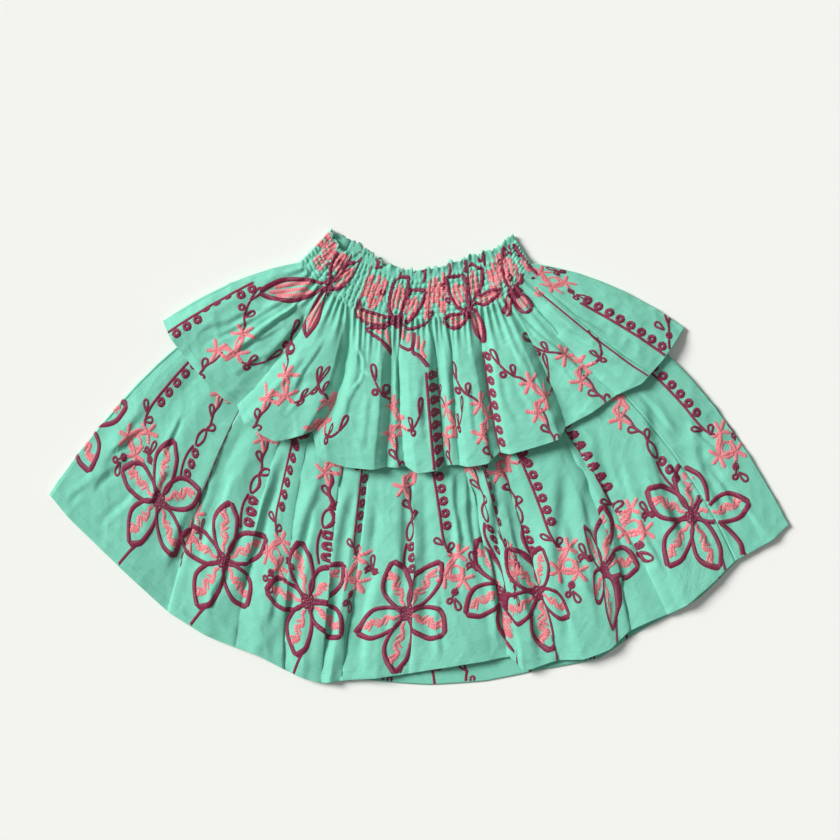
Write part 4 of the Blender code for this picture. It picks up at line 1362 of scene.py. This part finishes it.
# Ends of petals caught in the heading, and small beads of the waist flowers, in steps
# across the photograph's frame.
HEADING_ENDS = [
    (336, 240), (378, 262), (400, 270), (424, 274), (450, 268), (466, 264), (483, 258), (503, 248),
]
WAIST_RINGS = [Spot(*place) for place in (
    (378, 259), (379, 265), (424, 268), (466, 260), (466, 267), (481, 258), (382, 292), (359, 303),
    (444, 285), (448, 300), (430, 314), (500, 262), (510, 277), (345, 268), (340, 262), (512, 244),
)]

# X of the columns that meet the underside's hems.
LOWER_UNDER_FLOWERS = (-300, -196, -90, 16, 122, 228, 330)
LOWER_UNDER_BETWEEN = (-350, -248, -143, -37, 69, 175, 280)
UPPER_UNDER_CHAINS = (-190, -112, -38, 38, 112, 190)
UPPER_UNDER_BETWEEN = (-210, -151, -74, 0, 74, 151)

# X of the flower cut by the front's left edge.
EDGE_FLOWER_X = -407

# X of the small sprigs that end at the underside's hem and show inside it.
HEM_SPRIGS = (-38, 53, 187)


def hem_sprig():
    """A short stem with a bead and a loop, y from the hem."""
    return [cord([(0, -3), (1, 4), (0, 13)], 2.0), bead(-5.5, 3.5, 2.4, 1.8),
            drop(1, 12, 50, 10, 6)]


# How wide the few strokes on the edge of a hidden half are drawn there.
HIDDEN_SHARE = 0.15


def kept_half(strokes, left, right):
    """Strokes without those of a half that is hidden."""
    kept = []
    for stroke in strokes:
        middle = stroke.points[:, 0].mean()
        if not ((left == 0 and middle < -3) or (right == 0 and middle > 3)):
            kept.append(stroke)
    return kept


def put_all(work, spots, strokes):
    """Lay the same strokes at each spot of the photograph's frame."""
    for spot in spots:
        squeeze = (spot.left or HIDDEN_SHARE, spot.right or HIDDEN_SHARE)
        kept = kept_half(strokes, spot.left, spot.right)
        work.put(plan_spot(work.cloth, spot.x, spot.y), kept, squeeze)


def hem_spot(cloth, x, under):
    """The place on the hem's lower edge nearest to x."""
    hem = cloth.outer[:, -1]
    facing = cloth.normals[:, -4, 2] * (-1 if under else 1)
    away = np.where(facing > 0.3, np.abs(hem[:, 0] - x), FAR)
    return float(np.argmin(away)), 0.0


def put_under(work, places, strokes, squeeze=(1.0, 1.0)):
    """Lay the same strokes up from the underside's hem at each x."""
    for x in places:
        work.put(hem_spot(work.cloth, x, True), strokes, squeeze)


def shifted(strokes, up, across=0.0):
    """Strokes moved up, and across, by some steps."""
    return [stroke._replace(points=stroke.points + (across, up)) for stroke in strokes]


def embroider_lower_front(work):
    """Flowers along the hem, chains above them and clusters between."""
    for bloom in LOWER_FLOWERS:
        put_all(work, [bloom], rotated(flower(), bloom.turn))
    put_all(work, LOWER_CHAINS, shifted(chain_above_flower(), -FIRST_BEAD))
    put_all(work, LOWER_BETWEEN, between_flowers())
    work.put(hem_spot(work.cloth, EDGE_FLOWER_X, False), shifted(flower(), FLOWER_HEIGHT, -23.0))


def embroider_lower_back(work):
    """The turned side beside the seam, and the whole underside."""
    work.put(plan_spot(work.cloth, 725.5, 446), between_flowers())
    work.put(plan_spot(work.cloth, 712, 508), shifted(rotated(flower(), 20), -5.0, -12.0))
    full = shifted(flower() + chain_above_flower(), FLOWER_HEIGHT)
    put_under(work, HEM_SPRIGS, hem_sprig())
    put_under(work, LOWER_UNDER_FLOWERS, full)
    put_under(work, LOWER_UNDER_BETWEEN, shifted(between_flowers(), FLOWER_HEIGHT + BETWEEN_HEIGHT))


def upper_chain():
    """The part of a chain above a flower that the upper tier's cloth has."""
    return shifted(chain_above_flower(), FLOWER_HEIGHT - UPPER_HEM_HEIGHT)


def upper_between(folded=()):
    """The beads between chains, from the upper hem up to the waist flowers."""
    return shifted(beads_between(folded), FLOWER_HEIGHT + BETWEEN_HEIGHT - UPPER_HEM_HEIGHT)


def squeezed_petal(petal):
    """A petal that the shirring narrows, blunt where it is cut short, with upright satin."""
    way = np.array([petal.x1 - petal.x0, petal.y1 - petal.y0], float)
    length = np.linalg.norm(way)
    ahead = way / length
    beside = np.array([-ahead[1], ahead[0]])

    def turned(v, offset):
        return (petal.x0, petal.y0) + ahead * v * length + beside * offset * petal.width

    tip = 0.42 * petal.blunt
    strokes = []
    for side in (-1, 1):
        edge = [turned(0.03, side * 0.1), turned(0.25, side * 0.36), turned(0.58, side * 0.47),
                turned(0.84, side * (0.24 + 0.22 * petal.blunt)), turned(1.0, side * tip)]
        strokes.append(line_stroke(MAGENTA, edge, 2.1, 2.6, rise=EDGE_RISE))
    if petal.blunt > 0.4:
        end = [turned(1.0, -tip), turned(1.02, 0.0), turned(1.0, tip)]
        strokes.append(line_stroke(MAGENTA, end, 2.4, rise=EDGE_RISE))
    for number, offset in enumerate((-0.19, 0.02, 0.2)):
        low, high = 0.2 + 0.07 * (number % 2), 0.86 - 0.1 * ((number + 1) % 2)
        bend = turned((low + high) / 2, offset * 1.3)
        satin = line_stroke(CORAL, [turned(low, offset), bend, turned(high, offset * 0.9)],
                            0.1 * petal.width, 0.12 * petal.width, rise=0.8, spacing=SATIN_SPACING)
        strokes.append(ragged(satin, petal.x1 + 3.0 * number))
    return strokes


def waist_flower(petals):
    """A flower in the shirring, with its centre of beads."""
    strokes = []
    for petal in petals:
        strokes += squeezed_petal(petal)
    strokes += [bead(x, y, 2.0, 1.8) for x, y in ((0, 1), (-4, -1), (4, -1), (0, -4), (-3, 4), (3, 4))]
    return strokes


def rotated(strokes, degrees):
    """Strokes turned round their origin."""
    return [stroke._replace(points=turn_points(stroke.points, degrees)) for stroke in strokes]


def embroider_upper_front(work):
    """Chains and beads that rise from the hem, and the squeezed flowers of the waist."""
    put_all(work, UPPER_CHAINS, shifted(chain_above_flower(), -CLUSTER_HEIGHT))
    put_all(work, UPPER_BETWEEN[:1], upper_between(folded=(4, 5, 6)))
    put_all(work, UPPER_BETWEEN[1:], upper_between())
    for spot, petals in WAIST_FLOWERS:
        work.put(plan_spot(work.cloth, spot.x, spot.y), waist_flower(petals), (WAIST_STRETCH, WAIST_STRETCH))
    for number, mass in enumerate(WAIST_MASSES):
        put_all(work, [Spot(mass.x, mass.y)],
                smocked_mass(mass.width, mass.height, int(mass.width / STREAK_WIDTH), number))
    put_all(work, WAIST_RINGS, [bead(0, 0, 2.6, 1.9)])
    gathered = [line_stroke(MAGENTA, line, 2.1, 2.4, rise=EDGE_RISE) for line in GATHERED_CORDS]
    gathered += [ragged(line_stroke(CORAL, satin, 2.2, 2.5, rise=0.8, spacing=SATIN_SPACING), 1.0)
                 for satin in GATHERED_SATIN]
    put_all(work, [GATHERED_SPOT], gathered)
    for x, y in HEADING_ENDS:
        put_all(work, [Spot(x, y)], [cord([(0, -8), (1, 0), (-1, 12)], 1.9)])
    seam = float(len(work.cloth.u) - 1)
    work.put((seam, 0.0), [cord([(-4, -2), (-4, 30), (-3.6, 60), (-4, 140)], 1.2)])


def embroider_upper_back(work):
    """The turned side beside the seam, and the whole underside."""
    put_all(work, [Spot(668, 347)], upper_between())
    put_all(work, [Spot(553, 280, 0.6, 0.6)], cluster_between())
    put_all(work, [Spot(538, 277)], squeezed_petal(Petal(0, 0, -9, 42, 20, 0.9)))
    put_all(work, [Spot(515, 247)], [bead(0, 0, 2.8, 2.2), bead(-1, -7, 2.4, 2.0)])
    tip = [drop(-6, -1, 150, 11, 7), drop(-2, 6, 100, 12, 6), bead(0, -6, 2.6, 1.9)]
    tip.append(cord([(2, -20), (0, -8), (-2, 6), (-7, 16)], 1.5))
    put_all(work, [Spot(670, 330)], rotated(tip, -65))
    put_under(work, UPPER_UNDER_CHAINS, upper_chain())
    ends = [cord([(side, 198), (side + 2, 206), (side, 222)], 2.0) for side in (-14, 4, 20)]
    ends += shifted(flower()[:-1], WAIST_FLOWER_HEIGHT - UPPER_HEM_HEIGHT)
    for x in UPPER_UNDER_BETWEEN:
        put_under(work, [x], upper_between())
        put_under(work, [x], ends, (0.5, 0.5))


# Light and dark colours of the cloth, mixed by a random mottle, and of the threads, whose dark end is
# painted shade between the satin stitches.
COTTON_COLOURS = (0.26, 0.775, 0.585), (0.18, 0.615, 0.45)
MAGENTA_COLOURS = (0.315, 0.021, 0.078), (0.085, 0.006, 0.022)
CORAL_COLOURS = (0.90, 0.285, 0.31), (0.62, 0.13, 0.15)
STITCHING_COLOURS = (0.19, 0.55, 0.41), (0.08, 0.30, 0.22)


def embroider(cloths):
    """The thread pieces of each panel."""
    magenta = satin_thread("magenta_thread", *MAGENTA_COLOURS)
    coral = satin_thread("coral_thread", *CORAL_COLOURS)
    stitchers = [embroider_upper_front, embroider_upper_back, embroider_lower_front, embroider_lower_back]
    made = []
    for cloth, stitcher in zip(cloths, stitchers):
        work = Needlework(cloth)
        stitcher(work)
        base = cloth.name.replace("_cloth", "")
        pieces = [work.sew(base + "_magenta_thread", MAGENTA, magenta),
                  work.sew(base + "_coral_thread", CORAL, coral)]
        if stitcher in (embroider_upper_back, embroider_lower_back):
            reverse = Needlework(cloth, inside=True)
            stitcher(reverse)
            pieces.append(reverse.sew(base + "_reverse_thread", MAGENTA, magenta))
        made.append([piece for piece in pieces if piece])
    return made


def node(tree, kind, **settings):
    """A shader node with its settings."""
    made = tree.nodes.new(kind)
    for key, value in settings.items():
        setattr(made, key, value)
    return made


def scaled(tree, vector, factors):
    """The vector times three factors."""
    scale = node(tree, "ShaderNodeVectorMath", operation="MULTIPLY")
    scale.inputs[1].default_value = factors
    tree.links.new(vector, scale.inputs[0])
    return scale.outputs[0]


def noise(tree, vector, scale, detail):
    """Noise between 0 and 1."""
    made = node(tree, "ShaderNodeTexNoise")
    made.inputs["Scale"].default_value = scale
    made.inputs["Detail"].default_value = detail
    tree.links.new(vector, made.inputs["Vector"])
    return made.outputs["Fac"]


def bands(tree, vector, direction, scale, distortion):
    """Soft bands across one direction."""
    made = node(tree, "ShaderNodeTexWave", wave_type="BANDS", bands_direction=direction)
    made.inputs["Scale"].default_value = scale
    made.inputs["Distortion"].default_value = distortion
    made.inputs["Detail"].default_value = 1.0
    tree.links.new(vector, made.inputs["Vector"])
    return made.outputs["Fac"]


def ramp(tree, value, low, high, low_at=0.3, high_at=0.7):
    """Colour between low and high as value goes from low_at to high_at."""
    made = node(tree, "ShaderNodeValToRGB")
    stops = made.color_ramp.elements
    stops[0].position, stops[1].position = low_at, high_at
    stops[0].color, stops[1].color = (*low, 1.0), (*high, 1.0)
    tree.links.new(value, made.inputs["Fac"])
    return made.outputs["Color"]


def mixed(tree, share, one, other):
    """Two colours mixed."""
    made = node(tree, "ShaderNodeMix", data_type="RGBA", blend_type="MIX")
    made.inputs["Factor"].default_value = share
    tree.links.new(one, made.inputs[6])
    tree.links.new(other, made.inputs[7])
    return made.outputs[2]


def total(tree, one, other, share):
    """one plus share times other."""
    made = node(tree, "ShaderNodeMath", operation="MULTIPLY_ADD")
    tree.links.new(other, made.inputs[0])
    made.inputs[1].default_value = share
    tree.links.new(one, made.inputs[2])
    return made.outputs[0]


def bump(tree, shader, height, distance):
    """Raise the shader's surface by height, at distance metres."""
    made = node(tree, "ShaderNodeBump")
    made.inputs["Strength"].default_value = 0.6
    made.inputs["Distance"].default_value = distance
    tree.links.new(height, made.inputs["Height"])
    tree.links.new(made.outputs["Normal"], shader.inputs["Normal"])


def plain_shader(name, roughness, sheen, sheen_roughness):
    """A material, its tree, its shader and the grain coordinates."""
    material = bpy.data.materials.new(name)
    material.use_nodes = True
    tree = material.node_tree
    shader = tree.nodes["Principled BSDF"]
    shader.inputs["Roughness"].default_value = roughness
    shader.inputs["Sheen Weight"].default_value = sheen
    shader.inputs["Sheen Roughness"].default_value = sheen_roughness
    grain = node(tree, "ShaderNodeAttribute", attribute_name="grain")
    return material, tree, shader, grain.outputs["Vector"]


def cotton(name, light, dark):
    """Fine plain-woven cotton with slubs and a faint cloudiness."""
    material, tree, shader, grain = plain_shader(name, 0.72, 0.12, 0.4)
    cloud = noise(tree, scaled(tree, grain, (0.02, 0.012, 1.0)), 1.0, 3.0)
    slub = noise(tree, scaled(tree, grain, (0.62, 0.05, 1.0)), 1.0, 2.0)
    cross_slub = noise(tree, scaled(tree, grain, (0.05, 0.7, 1.0)), 1.0, 2.0)
    threads = mixed(tree, 0.5, ramp(tree, slub, dark, light), ramp(tree, cross_slub, dark, light))
    colour = mixed(tree, 0.6, ramp(tree, cloud, dark, light), threads)
    tree.links.new(colour, shader.inputs["Base Color"])
    warp = bands(tree, grain, "X", 0.9, 0.4)
    weft = bands(tree, grain, "Y", 0.9, 0.4)
    crumple = noise(tree, scaled(tree, grain, (0.11, 0.035, 1.0)), 1.0, 4.0)
    weave = total(tree, total(tree, total(tree, slub, warp, 0.8), weft, 0.8), crumple, 9.0)
    bump(tree, shader, total(tree, weave, cross_slub, 1.0), 0.00022)
    return material


def satin_thread(name, light, dark):
    """Satin-stitched thread: fine stitches across a stroke and longer bites along it. Its colour mixes an
    uneven random tone with painted shade in the bands between stitches and bites; the same bands also raise
    a bump.
    """
    material, tree, shader, grain = plain_shader(name, 0.46, 0.2, 0.3)
    shader.inputs["Specular IOR Level"].default_value = 0.45
    bites = bands(tree, grain, "X", 0.12, 2.8)
    stitches = bands(tree, scaled(tree, grain, (1.0, 0.35, 1.0)), "DIAGONAL", 0.55, 0.6)
    uneven = noise(tree, scaled(tree, grain, (0.5, 0.5, 1.0)), 1.0, 2.0)
    # Painted shade: the stitch and bite bands darken the thread's colour between stitches; the noise is the
    # thread's own uneven tone.
    tone_and_stitch_shade = total(tree, total(tree, uneven, bites, 0.45), stitches, 0.3)
    tree.links.new(ramp(tree, tone_and_stitch_shade, dark, light, 0.55, 1.08), shader.inputs["Base Color"])
    bump(tree, shader, total(tree, stitches, bites, 0.7), 0.00045)
    return material


# The photograph's frame on the floor, in metres, and the studio.
VIEW_WIDTH = 0.924
VIEW_CENTRE = (0.0011, 0.0396)
LENS, SENSOR = 80.0, 36.0
MIDDLE_HEIGHT = 0.012
FLOOR_COLOUR = (0.90, 0.905, 0.86, 1.0)
FLOOR_HEIGHT, FLOOR_HALF = -0.0004, 30.0

# Lights: which way each shines, its strength and its softness in degrees.
KEY_LIGHT = (0.88, -0.40, -0.62), 4.35, 24.0
FILL_LIGHT = (-0.5, 0.5, -1.0), 0.15, 60.0
SKY_COLOUR, SKY_STRENGTH = (1.0, 1.0, 1.0, 1.0), 0.21


def pale_floor():
    """A wide plain floor."""
    ends = ((-1, -1), (1, -1), (1, 1), (-1, 1))
    corners = [(x * FLOOR_HALF, y * FLOOR_HALF, FLOOR_HEIGHT) for x, y in ends]
    mesh = bpy.data.meshes.new("floor")
    mesh.from_pydata(corners, [], [(0, 1, 2, 3)])
    floor = bpy.data.objects.new("floor", mesh)
    material = bpy.data.materials.new("pale_floor")
    material.use_nodes = True
    shader = material.node_tree.nodes["Principled BSDF"]
    shader.inputs["Base Color"].default_value = FLOOR_COLOUR
    shader.inputs["Roughness"].default_value = 0.9
    mesh.materials.append(material)
    bpy.context.scene.collection.objects.link(floor)


def soft_sun(name, towards, strength, softness):
    """Soft light from one side, the same all over."""
    light = bpy.data.lights.new(name, "SUN")
    light.energy = strength
    light.angle = math.radians(softness)
    lamp = bpy.data.objects.new(name, light)
    lamp.rotation_euler = (math.atan2(math.hypot(towards[0], towards[1]), -towards[2]), 0.0,
                           math.atan2(towards[1], towards[0]) - math.pi / 2)
    bpy.context.scene.collection.objects.link(lamp)


def even_sky():
    """Even light from all round."""
    world = bpy.data.worlds.new("soft_sky")
    world.use_nodes = True
    background = world.node_tree.nodes["Background"]
    background.inputs["Color"].default_value = SKY_COLOUR
    background.inputs["Strength"].default_value = SKY_STRENGTH
    bpy.context.scene.world = world


def overhead_camera():
    """Straight above, turned as the photograph is, with a long lens."""
    camera = bpy.data.objects.new("camera", bpy.data.cameras.new("camera"))
    camera.data.lens = LENS
    camera.data.sensor_width = SENSOR
    camera.location = (*VIEW_CENTRE, VIEW_WIDTH * LENS / SENSOR + MIDDLE_HEIGHT)
    bpy.context.scene.collection.objects.link(camera)
    bpy.context.scene.camera = camera


# T of the rows down each tier: the ruffle, the shirring, the gathers and the rest.
UPPER_STEPS = np.concatenate([
    np.linspace(-1.0, FIRST_SHIRRING, 9)[:-1], np.linspace(FIRST_SHIRRING, 0.0, 65)[:-1],
    np.linspace(0.0, 0.2, 21)[:-1], np.linspace(0.2, 0.999, 57),
])
LOWER_STEPS = np.linspace(0.0, 0.999, 109)

# A panel: its cloth's name, its node and slot, which side of its tube it is, its columns
# over the top, round the fold and underneath, its flat size in metres and square metres,
# and the panel it rests on.
Panel = namedtuple("Panel", "cloth node slot side columns flat area below")

PANELS = [
    Panel("upper_front_cloth", "upper_tier_front", "upper_cotton", "front", (362, 12, 8),
          (0.764, 0.236), 0.118, "lower_front_cloth"),
    Panel("upper_back_cloth", "upper_tier_back", "upper_cotton", "back", (60, 12, 180),
          (0.663, 0.228), 0.090, "lower_back_cloth"),
    Panel("lower_front_cloth", "lower_tier_front", "lower_cotton", "front", (402, 14, 12),
          (0.988, 0.403), 0.270, "lower_back_cloth"),
    Panel("lower_back_cloth", "lower_tier_back", "lower_cotton", "back", (60, 14, 222),
          (0.906, 0.413), 0.255, "upper_back_cloth"),
]


def make_cloths():
    """The panels' outer faces, those of the lower tier pressed under the flounce."""
    upper, lower = build_tiers()
    upper_make = (upper, lines_down(UPPER_STEPS), UPPER_CREASES, GATHERS, UPPER_TUCKS)
    lower_make = (lower, lines_down(LOWER_STEPS), LOWER_CREASES + LOWER_FOLDS, [], LOWER_TUCKS)
    cloths = []
    for panel in PANELS:
        tube, *details = upper_make if panel.slot == "upper_cotton" else lower_make
        columns = panel_columns(tube, panel.side, *panel.columns)
        cloths.append(Cloth(panel.cloth, tube, columns, *details))
    press_under(cloths[2:], cloths[0])
    return cloths


def carry(pieces):
    """Pieces that ride on the skirt's one body."""
    for piece in pieces:
        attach(piece, "root")


def main():
    """Build the four panels with their threads, hide the solid's parts they stand for, and hang every piece
    on the skirt's one body.
    """
    turquoise = cotton("turquoise_cotton", *COTTON_COLOURS)
    cloths = make_cloths()
    shells = [cloth_shell(cloth, turquoise) for cloth in cloths]
    for panel, shell in zip(PANELS, shells):
        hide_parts(panel.node)
        carry([shell])
    threads = embroider(cloths)
    stitching = satin_thread("turquoise_thread", *STITCHING_COLOURS)
    for cloth, pieces in zip(cloths, threads):
        name = cloth.name.replace("_cloth", "_stitching")
        pieces.append(sew_seams(cloth, panel_seams(cloth), name, stitching))
    for panel, shell, pieces in zip(PANELS, shells, threads):
        carry(pieces)


main()
pale_floor()
overhead_camera()
soft_sun("key", *KEY_LIGHT)
soft_sun("fill", *FILL_LIGHT)
even_sky()
bpy.context.scene.view_settings.view_transform = "Standard"
